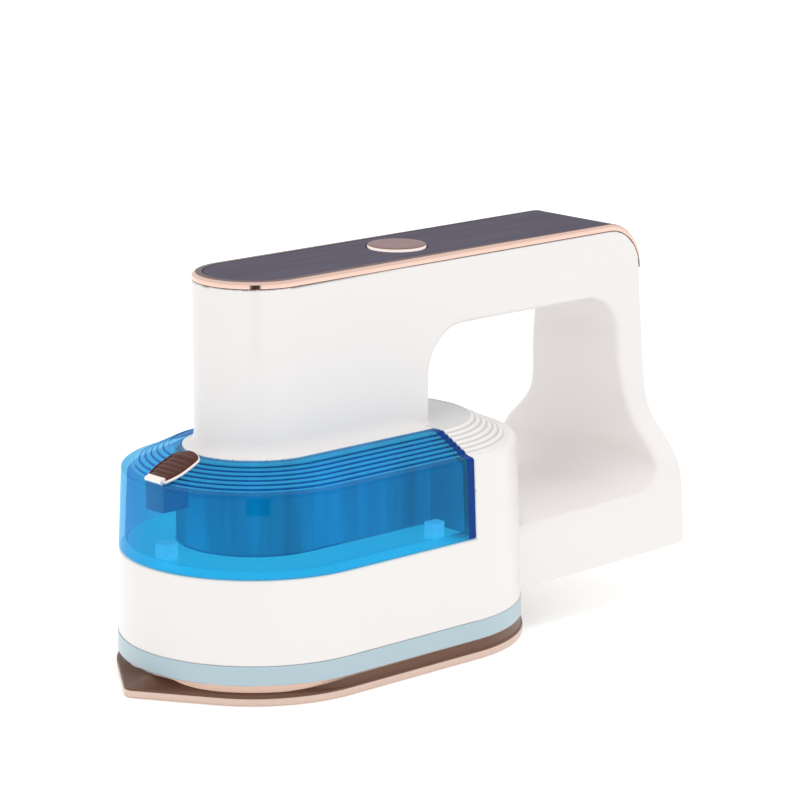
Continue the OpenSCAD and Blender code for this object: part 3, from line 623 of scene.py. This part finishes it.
def body_field(x, y, z):
    """Base below the deck, round rear body behind the tank and the core inside the tank."""
    reach = np.hypot(x - np.clip(x, 0, SPINE), y)
    wall = reach - wall_r(z)
    hidden = 0.15 * ease(z, BODY_Z + 0.3, BODY_Z - 0.2)
    base = meet(meet(wall + hidden, z - DECK_Z, 0.7), MOULD_FOOT - z, 0.3)
    cone = np.minimum(SHOULDER_Z + 0.5 - 0.55 * ease(reach, 36.9, 36.3)
                      + RIB_SLOPE * np.maximum(SLOPE_R - reach, 0), CROWN_Z)
    cone = cone - 0.18 * np.maximum(reach - SLOPE_R, 0)
    back = meet(wall, (z - cone) * 0.9, 0.9)
    back = np.maximum(back, SEAM_X + 0.2 - x)
    core = np.maximum(reach - CORE_R + 0.05, np.maximum(z - CROWN_Z, x - SPINE))
    return np.minimum(np.minimum(base, back), core)


def hollow_field(x, y, z):
    """Room inside the moulding. Each room is the overlap of the limits on its line."""
    plan = np.where(x < 0, np.hypot(x, y) - COLUMN_R, np.abs(y) - grip_half(x)) + HOUSING_WALL
    rooms = [
        (plan, x - 48.5, 16 - z, z - 112.4),                        # column
        (plan, x - 116, 98.2 - z, z - 112.4),                       # grip
        (np.hypot(y, z - PORT_Z) - 6.15, -26 - x, x + 10),          # water port
        (np.hypot(x - BUTTON_X, y) - BUTTON_R - 1.6, 111.5 - z),    # button
        (np.abs(y) - 11.0, np.abs(z - INLET_Z) - 7.0, 122 - x),     # mains inlet
    ]
    for half_gap, height in COVER_SCREWS:
        rooms.append((np.hypot(np.abs(y) - half_gap, z - height) - SCREW_R,
                      HEEL_X - SCREW_DEEP - x))
    return reduce(np.minimum, [reduce(np.maximum, limits) for limits in rooms])


def housing_field(x, y, z):
    """The whole moulding: loop and body joined by a fillet, less its hollows."""
    fillet = (1.6 + 2.4 * ease(z, 30, 50)) * (1 - 0.7 * ease(x, 42, 52))
    f = join(loop_field(x, y, z), body_field(x, y, z), fillet)
    return np.maximum(np.maximum(f, MOULD_FOOT - z), -hollow_field(x, y, z))


def build_housing():
    """The white moulding, and its round ribbed top behind the tank."""
    step = 0.7
    low = (-42.5, -42.5, BODY_Z - 2.4)
    high = (HEEL_X + 1.5, 42.5, RIM_Z + 1.5)
    skin = skin_of("white_housing", housing_field, low, high, step, WHITE)
    attach(skin, "main_body", "white_plastic", "main_housing")
    skin.data.materials.append(PAINTED_SHADE_WHITE)
    # The crown's upward faces behind the tank get the painted shade.
    for poly in skin.data.polygons:
        x, y, z = poly.center / MM
        if SEAM_X < x < SPINE + 27 and abs(z - CROWN_Z) < 0.8 and poly.normal.z > 0.8:
            poly.material_index = 1
    outer = [(36.75, 60.95), (36.35, 61.16)]
    inner = [(24.6, CROWN_Z - 0.12), (23.8, CROWN_Z + 0.01)]
    foot = [(23.8, CROWN_Z - 1.6), (36.75, 59.8)]
    profile = outer + rib_line(0.48) + inner + foot
    cap = sweep("housing_ribs", profile, spine_stations(front_x=SEAM_X + 0.25), WHITE, False)
    cap.data.materials.append(PAINTED_SHADE_WHITE)
    # The ribs' grooves and the flat crown inside them get the painted shade.
    for poly in cap.data.polygons:
        x, y, z = poly.center / MM
        reach = spine_reach(x, y)
        if z > 61 and (rib_phase(reach) < 0.16 or reach < 25.0):
            poly.material_index = 1
    attach(cap, "main_body", "white_plastic")


# ---------------- base and sole
NOSE_APEX, NOSE_HALF_ANGLE = 49.6, 56.8     # virtual apex of the nose, and degrees off the axis
NOSE_R = 4.0                                # rounded tip
HOLE_RING, HOLE_STEP = 15.5, 22.5           # steam holes: distance from the centre line, degrees
HOLE_ROWS = (15, 30, 45)                    # and the pairs along the sides


def outline_with_nose(inset, rear_steps):
    """Sole outline: round tip, straight flanks, long sides and a round rear end."""
    r = SOLE_HIGH[1] - inset
    apex = NOSE_APEX - inset / math.sin(math.radians(NOSE_HALF_ANGLE))
    tip_r = max(NOSE_R - inset, 0.6)
    tangent = math.acos(r / apex)
    tip = -(apex - tip_r / math.cos(tangent))
    pts = []

    def arc(cx, rad, a0, a1, n):
        for i in range(n + 1):
            a = a0 + (a1 - a0) * i / n
            pts.append((cx + rad * math.cos(a), rad * math.sin(a)))

    arc(tip, tip_r, math.pi + tangent, math.pi - tangent, 24)
    arc(0, r, math.pi - tangent, math.pi / 2, 32)
    arc(SPINE, r, math.pi / 2, -math.pi / 2, rear_steps)
    arc(0, r, 1.5 * math.pi, math.pi + tangent, 32)
    return pts


def build_sole_plate():
    """Pressing plate with rounded edges and steam holes; its top face is the dark flange."""
    top = SOLE_HIGH[2]
    levels = [(0.9, 0.0), (0.45, 0.08), (0.14, 0.32), (0.0, 0.75), (0.0, top - 0.55),
              (0.12, top - 0.2), (0.4, top)]
    loops = [[(x, y, z) for x, y in outline_with_nose(inset, 72)] for inset, z in levels]
    count = len(loops[0])
    mats = [1 if i >= 4 else 0 for i in range(len(levels) - 1) for _ in range(count)] + [0, 1]
    sole = outward(make("sole_plate", [p for loop in loops for p in loop],
                        tube_faces(len(levels), count), [SOLE_RIM, SOLE_TOP], mats))
    angles = [math.radians(HOLE_STEP * i) for i in range(-4, 5)]
    places = [(-HOLE_RING * math.cos(a), -HOLE_RING * math.sin(a)) for a in angles]
    places += [(x, HOLE_RING * side) for x in HOLE_ROWS for side in (-1, 1)]
    hole = [(0, -0.5), (1.9, -0.5), (1.3, 0.35), (1.3, top + 1), (0, top + 1)]
    cut_with(sole, [lathe("hole", hole, (x, y, 0), (0, 0, 1), SOLE_RIM, 32) for x, y in places])
    attach(sole, "main_body", "sole_metal", "soleplate")


def build_sole_fairing():
    """The flange's smooth sweep from the rim up to the skirt; it dips to show the casting."""
    top, rows = SOLE_HIGH[2], 10
    outline = outline_with_nose(0.42, 96)
    verts = []
    for x, y in outline:
        cx = min(max(x, 0.0), SPINE)
        reach = math.hypot(x - cx, y)
        angle = math.degrees(math.atan2(abs(y), -x)) if x < 0 else 90.0 + x
        dip = float(ease(angle, -5, 18) * ease(angle, 104, 60))
        r = (SKIRT_R - 0.15) * (1 - dip) + (STEP_HIGH[1] - 0.1) * dip
        z = (SKIRT_Z - 0.12) * (1 - dip) + (top + 0.4) * dip
        low = np.array((x, y, top - 0.05))
        high = np.array((cx + (x - cx) / reach * r, y / reach * r, z))
        for i in range(rows + 1):
            t = i / rows
            lift = t * t * (0.35 + 0.65 * t)
            verts.append(low + (high - low) * (t, t, lift))
        verts += [(*high[:2], top - 0.4), (*low[:2], top - 0.4)]
    fairing = make("sole_fairing", verts, tube_faces(len(outline), rows + 3, True), SOLE_TOP,
                   sharp=50)
    attach(outward(fairing), "main_body", "sole_metal")


def build_skirt():
    """The grey band over the CAD heat shield, and above it a thin dark ring, the fine seam's painted
    shadow.
    """
    inner, foot, lip = SKIRT_R - 1.9, SKIRT_Z - 0.06, BODY_Z + 0.6
    band = rounded([(inner, foot), (SKIRT_R + 0.3, foot), (SKIRT_R + 0.1, BODY_Z + 0.15),
                    (SKIRT_R - 0.9, lip), (inner, lip)], [0, 0.5, 0, 0, 0], 8)
    # The dark ring standing for the seam's shadow.
    near, far, top = SKIRT_R - 0.6, SKIRT_R + 0.07, BODY_Z + 0.24
    line = [(near, BODY_Z), (far, BODY_Z), (far, top), (near, top)]
    for name, profile, mat in (("heat_shield_seam_shadow", line, PAINTED_SEAM_SHADOW),
                               ("heat_shield_skirt", band, GREY)):
        attach(sweep(name, profile, spine_stations(), mat, True), "main_body", "grey_plastic")


# ---------------- tank
TANK_WALL_T, END_WALL_T = 1.8, 2.8
TANK_MATS = [TANK, TANK_WALL_PAINTED_STREAKS, TANK_FLOOR_PAINTED_LIGHT, TANK_END_PAINTED_STREAKS, TANK_GROOVE_SHADE, TANK_RIDGE, TANK_EDGE, TANK_UNDER_PAINTED_LIGHT]
CLEAR, WALL, FLOOR, END, GROOVE, RIDGE, EDGE, UNDER = range(len(TANK_MATS))


def prism(name, low, high, z0, z1, corner, mat):
    """An upright block with round corners, part of the tank."""
    outline = rounded([low, (high[0], low[1]), high, (low[0], high[1])], [corner] * 4)
    verts = [(px, py, z) for z in (z0, z1) for px, py in outline]
    block = outward(make(name, verts, tube_faces(2, len(outline)), mat))
    attach(block, "tank", "tank_blue")
    return block


def tank_face_kind(points, outer, floor, inner):
    """Which of the tank's looks a face gets, from its corners and whether it is on the outside."""
    mid = points.mean(0)
    reach = spine_reach(mid[0], mid[1])
    front = points[:, 0].min()
    if front > SEAM_X - END_WALL_T - 0.05 and len(points) > 4:
        return END
    if points[:, 2].max() < floor + TANK_WALL_T + 0.35 and reach < BASE_R - 0.4:
        return UNDER if outer else FLOOR
    if reach < inner + TANK_WALL_T + 0.05 and mid[2] < CROWN_Z - 0.5:
        return WALL
    if outer and front > SEAM_X - END_WALL_T - 0.2:
        return EDGE
    ribbed = RIB_R0 + 0.5 > reach > RIB_R0 - RIB_PITCH * (RIB_COUNT - 0.6)
    if ribbed and outer and mid[2] > SHOULDER_Z + 0.3:
        # Groove faces get the painted shade.
        return GROOVE if rib_phase(reach) < 0.17 else RIDGE
    return CLEAR


def build_tank_shell():
    """The clear horseshoe: an outer skin with ribs and an inner cavity, as one closed mesh."""
    floor, inner = TANK_LOW[2], CORE_R + 0.15
    crown = [(SLOPE_R, SHOULDER_Z + 0.5)] + rib_line(0.5) + [(24.4, CROWN_Z), (inner, CROWN_Z)]
    outside = rounded([(inner, floor), (BASE_R, floor), (SHOULDER_R, SHOULDER_Z)] + crown,
                      [0.4, 0.7, 0.9] + [0] * (len(crown) - 1) + [0.4])
    near, far, low = inner + TANK_WALL_T, BASE_R - TANK_WALL_T, floor + TANK_WALL_T
    roof = CROWN_Z - 2.0
    inside = rounded([(near, low), (far, low), (SHOULDER_R - TANK_WALL_T, SHOULDER_Z - 1.6),
                      (36.0, SHOULDER_Z - 1.2), (25.2, roof), (near, roof)],
                     [1.2, 1.8, 0.8, 0.5, 0.5, 0.8])
    stations = [(SEAM_X - END_WALL_T if SEAM_X - 7 < cx < SEAM_X - 1 else cx, dx, dy)
                for cx, dx, dy in spine_stations(rear_x=SEAM_X)]
    shell = sweep("shell", outside, stations, TANK, False)
    cavity = sweep("cavity", inside, spine_stations(rear_x=SEAM_X - END_WALL_T), TANK, False)
    cavity.data.flip_normals()
    verts, faces, kinds = [], [], []
    for skin in (shell, cavity):
        shift = len(verts)
        verts += [tuple(v.co / MM) for v in skin.data.vertices]
        faces += [tuple(i + shift for i in p.vertices) for p in skin.data.polygons]
    outer_faces = len(shell.data.polygons)
    for i, face in enumerate(faces):
        points = np.array([verts[v] for v in face])
        kinds.append(tank_face_kind(points, i < outer_faces, floor, inner))
    for skin in (shell, cavity):
        bpy.data.objects.remove(skin)
    return make("tank_shell", verts, faces, TANK_MATS, kinds, 38)


def build_tank():
    """Shell, filler neck, spigot and the three bosses that show through the tank."""
    bore = [(0, 0), (FILL_R, 0), (FILL_R, 20), (0, 20)]
    tank = build_tank_shell()
    cut_with(tank, [lathe("hole", bore, (FILL_X, 0, 50), (0, 0, 1), NECK, 40)])
    attach(tank, "tank", "tank_blue", "water_tank", "tank_lid")
    neck = prism("filler_neck", (-38.0, -4.1), (-28.2, 4.1), 53.0, 61.2, 1.0, NECK)
    cut_with(neck, [lathe("hole", bore, (FILL_X, 0, 50), (0, 0, 1), NECK, 40)])
    ring = [(2.0, 0), (2.98, 0), (2.98, 7.3), (2.0, 7.3), (2.0, 0)]
    spigot = lathe("tank_spigot", ring, (-22.5, 0, PORT_Z), (1, 0, 0), PAINTED_LIGHT_FITTINGS, 48)
    attach(spigot, "tank", "tank_blue")
    boss_z = TANK_LOW[2] + TANK_WALL_T - 0.3
    for name, low, high in (("tank_boss_front", (-36.0, -2.5), (-31.0, 2.5)),
                            ("tank_boss_near", (36.0, -36.5), (41.0, -32.5)),
                            ("tank_boss_far", (36.0, 32.5), (41.0, 36.5))):
        prism(name, low, high, boss_z, boss_z + 4.6, 0.8, PAINTED_LIGHT_FITTINGS)


# ---------------- filler flap
FLAP_HINGE = Vector(((FLAP_PIN_LOW[0] + FLAP_PIN_HIGH[0]) / 2, 0,
                     (FLAP_PIN_LOW[2] + FLAP_PIN_HIGH[2]) / 2))
FLAP_TILT = math.radians(23.0)
FLAP_LENGTH = 14.2
FLAP_SINK = -0.7                            # how far the leaf's plane lies from the hinge line
FLAP_RIB, FLAP_RIB_PITCH = 0.42, 1.9


def flap_point(along, across, height):
    """A point of the flap, from its own directions: towards the lip, sideways and up."""
    towards = Vector((-math.cos(FLAP_TILT), 0, -math.sin(FLAP_TILT)))
    up = Vector((-math.sin(FLAP_TILT), 0, math.cos(FLAP_TILT)))
    side = Vector((0, across, 0))
    return tuple(FLAP_HINGE + towards * along + side + up * (height + FLAP_SINK))


def flap_half(along):
    """Half width of the leaf: round at the hinge, widest in the middle."""
    t = along / FLAP_LENGTH
    start = math.sqrt(max(0.0, 1 - (1 - min(1, (along + 1.2) / 3.2)) ** 2))
    width = 5.9 - 9.0 * max(0, t - 0.48) ** 2 - 2.4 * max(0, 0.48 - t) ** 2
    return max(0.3, start * width)


def build_flap_leaf():
    """Crowned leaf with cross ribs; it rises over the pin near the hinge."""
    rows, cols = 150, 18
    top, bottom = [], []
    for i in range(rows + 1):
        u = -0.9 + (FLAP_LENGTH + 0.9) * i / rows
        wave = abs(math.sin(math.pi * (u - 1.2) / FLAP_RIB_PITCH)) ** 0.6
        rib = FLAP_RIB * wave if 1.2 < u < FLAP_LENGTH - 1 else 0.0
        base = 1.15 + 0.4 * float(ease(u, 3.0, 0.6))
        spread = [-1 + 2 * j / cols for j in range(cols + 1)]
        top.append([flap_point(u, flap_half(u) * s, base + rib * (1 - abs(s) ** 8)
                               - 0.5 * abs(s) ** 6 - 0.25 * s * s) for s in spread])
        bottom.append([flap_point(u, flap_half(u) * s, 0.05) for s in spread])
    # The leaf takes the rose gold darkened by painted reflection.
    leaf = grid_solid("filler_flap_leaf", top, bottom, FLAP_DARK_REFLECTION, 50)
    attach(leaf, "flap", "button_metal", "filler_flap")


def build_flap_edges():
    """Rolled lip across the front of the flap, and a round rim along both sides; the lip and the near
    rim carry a painted highlight.
    """
    rows, cols, half_lip = 8, 12, 3.65
    top, bottom = [], []
    for i in range(rows + 1):
        side = half_lip * (-1 + 2 * i / rows)
        curl = [math.pi * (j / cols - 0.5) for j in range(cols + 1)]
        heights = [0.8 - 0.9 * math.copysign(abs(math.sin(a)) ** 0.6, math.sin(a)) for a in curl]
        outs = [FLAP_LENGTH - 0.6 + max(0.0, math.cos(a)) ** 0.5 for a in curl]
        top.append([flap_point(out, side, h) for out, h in zip(outs, heights)])
        bottom.append([flap_point(FLAP_LENGTH - 1.6, side, h) for h in heights])
    # The lip carries the painted highlight.
    lip = grid_solid("filler_flap_lip", top, bottom, PAINTED_HIGHLIGHT_ROSE, 50)
    attach(lip, "flap", "rose_metal")

    steps, points, radius, start = 60, 10, 0.36, -0.75
    # The near rim carries the painted highlight and the far rim the leaf's painted dark reflection, as
    # the lit and the shaded side.
    for name, side, mat in (("filler_flap_rim_near", -1, PAINTED_HIGHLIGHT_ROSE),
                            ("filler_flap_rim_far", 1, FLAP_DARK_REFLECTION)):
        verts = []
        for i in range(steps + 1):
            u = start + (FLAP_LENGTH - 0.6 - start) * i / steps
            for k in range(points):
                a = 2 * math.pi * k / points
                verts.append(flap_point(u, side * (flap_half(u) + radius * math.cos(a)),
                                        0.62 + radius * 1.3 * math.sin(a)))
        rim = outward(make(name, verts, tube_faces(steps + 1, points), mat))
        attach(rim, "flap", "rose_metal")


# ---------------- top of the handle
PANEL_GAP = 0.3                             # between the panel and the trim, at each side


def top_stations():
    """(x, z, normal x, normal z) along the top line, from x = 0 to the end of the corner."""
    steps, straight = 20, 24
    out = []
    cx, cz = HEEL_X - CORNER_R, RIM_Z - CORNER_R
    for i in range(straight + 1):
        out.append((cx * i / straight, RIM_Z, 0.0, 1.0))
    end = math.radians(2)
    for i in range(1, steps + 1):
        a = math.pi / 2 - (math.pi / 2 - end) * i / steps
        out.append((cx + CORNER_R * math.cos(a), cz + CORNER_R * math.sin(a),
                    math.cos(a), math.sin(a)))
    return out


def trim_rise(nz):
    """Height of the trim above the housing: full on top, thinning round the corner."""
    return (TRIM_TOP - RIM_Z) * (0.12 + 0.88 * nz)


def trim_width(x):
    """Width of the trim, seen from above, which narrows towards the heel."""
    return TRIM_NOSE_W + (TRIM_REAR_W - TRIM_NOSE_W) * float(ease(x, 20, HEEL_X))


def build_trim():
    """Rose-gold band round the panel: upright outside, chamfered top, dark inner slope."""
    nose_steps, chamfer, knee = 64, 0.95, 0.3
    stations = []
    top_line = top_stations()
    for x, z, nx, nz in reversed(top_line):
        stations.append((x, -grip_half(x), z, 0.0, -1.0, nx, nz))
    for i in range(1, nose_steps):
        a = math.radians(-90 - 180 * i / nose_steps)
        stations.append((COLUMN_R * math.cos(a), COLUMN_R * math.sin(a), RIM_Z,
                         math.cos(a), math.sin(a), 0.0, 1.0))
    for x, z, nx, nz in top_line:
        stations.append((x, grip_half(x), z, 0.0, 1.0, nx, nz))
    section = rounded([(0.02, 0.0), (0.02, 0.1), (0.02, 0.95), (-knee, 1.0 + TRIM_LIFT * 0.8),
                       (-1.0, 1.0 + TRIM_LIFT), (-1.0, 0.0)], [0, 0, 0.25, 0.05, 0.0, 0], 4)
    verts = []
    for x, y, z, ox, oy, nx, nz in stations:
        rise, wide = trim_rise(nz), trim_width(x)
        slim = min(chamfer, wide * 0.5)
        for out, up in section:
            if out > -knee:
                shift = out * slim / knee
            else:
                shift = -slim + (out + knee) / (1 - knee) * (wide - slim)
            verts.append((x + ox * shift + nx * rise * up, y + oy * shift, z + nz * rise * up))
    mats = []
    for a, b in zip(section, section[1:] + section[:1]):
        hidden = max(a[0], b[0]) < -knee + 0.001 or max(a[1], b[1]) < 0.11
        mats.append(1 if hidden else 0)
    faces = tube_faces(len(stations), len(section))
    trim = make("rose_trim", verts, faces, [ROSE, TRIM_TOP_MAT],
                mats * (len(stations) - 1) + [0, 0])
    attach(outward(trim), "main_body", "rose_metal", "trim_ring")


def build_panel():
    """Dark panel between the trim's sides, bent down over the rear corner."""
    cols, nose_rows, nose_end = 24, 24, 88.5
    front_r = COLUMN_R - TRIM_NOSE_W - PANEL_GAP
    lines = []
    for i in range(nose_rows):
        a = math.radians(nose_end * (1 - i / nose_rows))
        lines.append((-front_r * math.sin(a), front_r * math.cos(a), RIM_Z, 0.0, 1.0))
    for x, z, nx, nz in top_stations():
        lines.append((x, grip_half(x) - trim_width(x) - PANEL_GAP, z, nx, nz))
    top, bottom = [], []
    for x, w, z, nx, nz in lines:
        rise = max(0.1, trim_rise(nz) * (0.96 + TRIM_LIFT))
        spread = [w * (-1 + 2 * j / cols) for j in range(cols + 1)]
        top.append([(x + nx * rise, y, z + nz * rise) for y in spread])
        bottom.append([(x, y, z) for y in spread])
    panel = grid_solid("dark_top_panel", top, bottom, PANEL, 40)
    hole_r = BUTTON_R + 0.35
    cut_with(panel, [lathe("hole", [(0, 100), (hole_r, 100), (hole_r, 130), (0, 130)],
                           (BUTTON_X, 0, 0), (0, 0, 1), PANEL, 96)])
    attach(panel, "main_body", "dark_plastic", "top_panel")


def build_button():
    """Slightly dished button with a rounded edge that carries a painted highlight, and its flange under
    the panel.
    """
    foot, flange = BUTTON_LOW[2], BUTTON_LOW[2] + 1.0
    top = BUTTON_HIGH[2] + 0.25
    r = BUTTON_R
    profile = [(0, foot), (r + 1.2, foot), (r + 1.2, flange), (r, flange), (r, top - 1.0),
               (r - 0.3, top - 0.22), (r - 0.42, top - 0.05), (r - 0.6, top),
               (r * 0.6, top - 0.08), (0, top - 0.12)]
    button = lathe("steam_button_cap", profile, (BUTTON_X, 0, 0), (0, 0, 1), SATIN, 128, 30)
    button.data.materials.append(PAINTED_HIGHLIGHT_ROSE)
    # The edge band gets the painted highlight.
    for poly in button.data.polygons:
        x, y, z = poly.center / MM
        if math.hypot(x - BUTTON_X, y) > r - 0.4 and top - 1.1 < z < top - 0.15:
            poly.material_index = 1
    attach(button, "button", "button_metal", "steam_button")


# ---------------- rear cover
def build_cover():
    """Plate on the heel with an opening for the mains inlet and four screw recesses."""
    low, high = COVER_LOW[2], COVER_HIGH[2]
    count, margin, deep, recess_r = 60, 3.3, 4.0, 2.7
    levels = [(0.0, -0.6), (0.0, 0.12), (0.1, 0.26), (0.35, 0.32)]
    verts = []
    for inset, out in levels:
        heights = [low + inset + (high - low - 2 * inset) * i / count for i in range(count + 1)]
        right = [(float(heel_half(z)) - margin - inset, z) for z in heights]
        verts += [(HEEL_X + out, y, z) for y, z in right + [(-y, z) for y, z in reversed(right)]]
    faces = tube_faces(len(levels), 2 * (count + 1))
    cover = outward(make("rear_plate", verts, faces, WHITE))
    wide, tall = 10.6, 6.6
    corners = [(x, y, z) for x in (HEEL_X - deep, HEEL_X + deep) for y in (-wide, wide)
               for z in (INLET_Z - tall, INLET_Z + tall)]
    sides = [(0, 1, 3, 2), (4, 6, 7, 5), (0, 4, 5, 1), (2, 3, 7, 6), (0, 2, 6, 4), (1, 5, 7, 3)]
    cutters = [outward(make("hole", corners, sides, WHITE))]
    profile = [(0, -deep), (recess_r, -deep), (recess_r, deep), (0, deep)]
    for half_gap, height in COVER_SCREWS:
        for side in (-1, 1):
            cutters.append(lathe("hole", profile, (HEEL_X, side * half_gap, height), (1, 0, 0),
                                 WHITE, 40))
    cut_with(cover, cutters)
    attach(cover, "main_body", "white_plastic", "rear_cover")


# ---------------- springs
def build_spring(node, wire, turns, foot_fixed):
    """Round wire coil in a CAD spring's place."""
    low, high = cad_box(node)
    middle = (low[0] + high[0]) / 2
    coil_r = (high[1] - low[1]) / 2 - wire
    slack = 0.1                             # keeps the moving end off its seat
    start = low[2] + wire + (0 if foot_fixed else slack)
    end = high[2] - wire - (slack if foot_fixed else 0)
    sides, steps = 10, 36
    last = turns * steps
    verts = []
    for i in range(last + 1):
        turn = 2 * math.pi * i / steps
        height = start + (end - start) * i / last
        for j in range(sides):
            around = 2 * math.pi * j / sides
            reach = coil_r + wire * math.cos(around)
            verts.append((middle + reach * math.cos(turn), reach * math.sin(turn),
                          height + wire * math.sin(around)))
    coil = outward(make(node + "_wire", verts, tube_faces(last + 1, sides), STEEL))
    attach(coil, "main_body", "steel", node)
    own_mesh(coil)


# ---------------- build everything
build_housing()
build_sole_plate()
build_sole_fairing()
build_skirt()
build_tank()
build_flap_leaf()
build_flap_edges()
build_trim()
build_panel()
build_button()
build_cover()
build_spring("button_spring", 0.3, 4, True)
build_spring("pump_spring", 0.35, 5, False)

slots = {part["node"]: part["material_slot"] for part in frame["record"]["subparts"]}
for node, obj in frame["nodes"].items():
    obj.data.materials.clear()
    # The heater casting takes the glowing painted-light finish; each other node takes its slot's
    # material.
    obj.data.materials.append(PAINTED_LIGHT_CASTING if node == "heater_casting" else SLOTS[slots[node]])


# ---------------- stage, light and camera
def aim(obj, place, target):
    """Puts a light or a card at a place, facing a target. Both are in metres."""
    obj.location = place
    obj.rotation_euler = (Vector(target) - Vector(place)).to_track_quat("-Z", "Y").to_euler()


def flat_sheet(name, half_x, half_y, z, mat):
    """A stage piece that isn't part of the object."""
    corners = [(-half_x, -half_y, z), (half_x, -half_y, z), (half_x, half_y, z),
               (-half_x, half_y, z)]
    sheet = make(name, corners, [(0, 1, 2, 3)], mat)
    return sheet


def area(name, place, target, size, power):
    """Square soft light that doesn't mirror in shiny surfaces."""
    data = bpy.data.lights.new(name, "AREA")
    data.shape = "RECTANGLE"
    data.size = data.size_y = size
    data.energy = power
    obj = bpy.data.objects.new(name, data)
    aim(obj, place, target)
    obj.visible_glossy = False
    bpy.context.scene.collection.objects.link(obj)


def card(name, place, target, width, height, shade):
    """A dark card that only mirrors in shiny surfaces, as a studio flag does."""
    mat = principled(name + " cloth", (shade, shade, shade), 0.9, vary=0.0, spec=0.0)
    obj = flat_sheet(name, width / 2 / MM, height / 2 / MM, 0, mat)
    aim(obj, place, target)
    obj.visible_camera = obj.visible_diffuse = obj.visible_shadow = False
    obj.visible_transmission = False


def add_camera():
    """The photo's viewpoint: place in metres, and the picture's own axes."""
    right = Vector((0.7401, -0.6725, 0.0))
    upward = Vector((0.1543, 0.1698, 0.9733))
    backward = Vector((-0.6545, -0.7204, 0.2294))
    data = bpy.data.cameras.new("photo_camera")
    data.lens = 153
    data.sensor_width = 36
    data.clip_start, data.clip_end = 0.05, 20
    camera = bpy.data.objects.new("photo_camera", data)
    turn = Matrix((right, upward, backward)).transposed().to_4x4()
    camera.matrix_world = Matrix.Translation((-0.6119, -0.7354, 0.3045)) @ turn
    bpy.context.scene.collection.objects.link(camera)
    bpy.context.scene.camera = camera


FLOOR_HALF = 15000.0
floor_mat = principled("studio floor", (250, 250, 249), 0.6, vary=0.0, spec=0.2, glow=0.25)
flat_sheet("studio_floor", FLOOR_HALF, FLOOR_HALF, -0.05, floor_mat)

world = bpy.data.worlds.new("studio")
world.use_nodes = True
world.node_tree.nodes["Background"].inputs["Color"].default_value = (1.0, 1.0, 1.0, 1.0)
world.node_tree.nodes["Background"].inputs["Strength"].default_value = 0.86
bpy.context.scene.world = world
MIDDLE = (0.045, 0.0, 0.06)
area("top", (0.05, -0.1, 1.0), MIDDLE, 0.5, 2.6)
area("key", (-0.5, -0.6, 0.9), MIDDLE, 0.7, 0.6)
card("front_flag", (-0.265, -0.333, 0.062), (0.0, 0.0, 0.11), 0.14, 0.11, 8)
add_camera()
bpy.context.scene.view_settings.view_transform = "Standard"
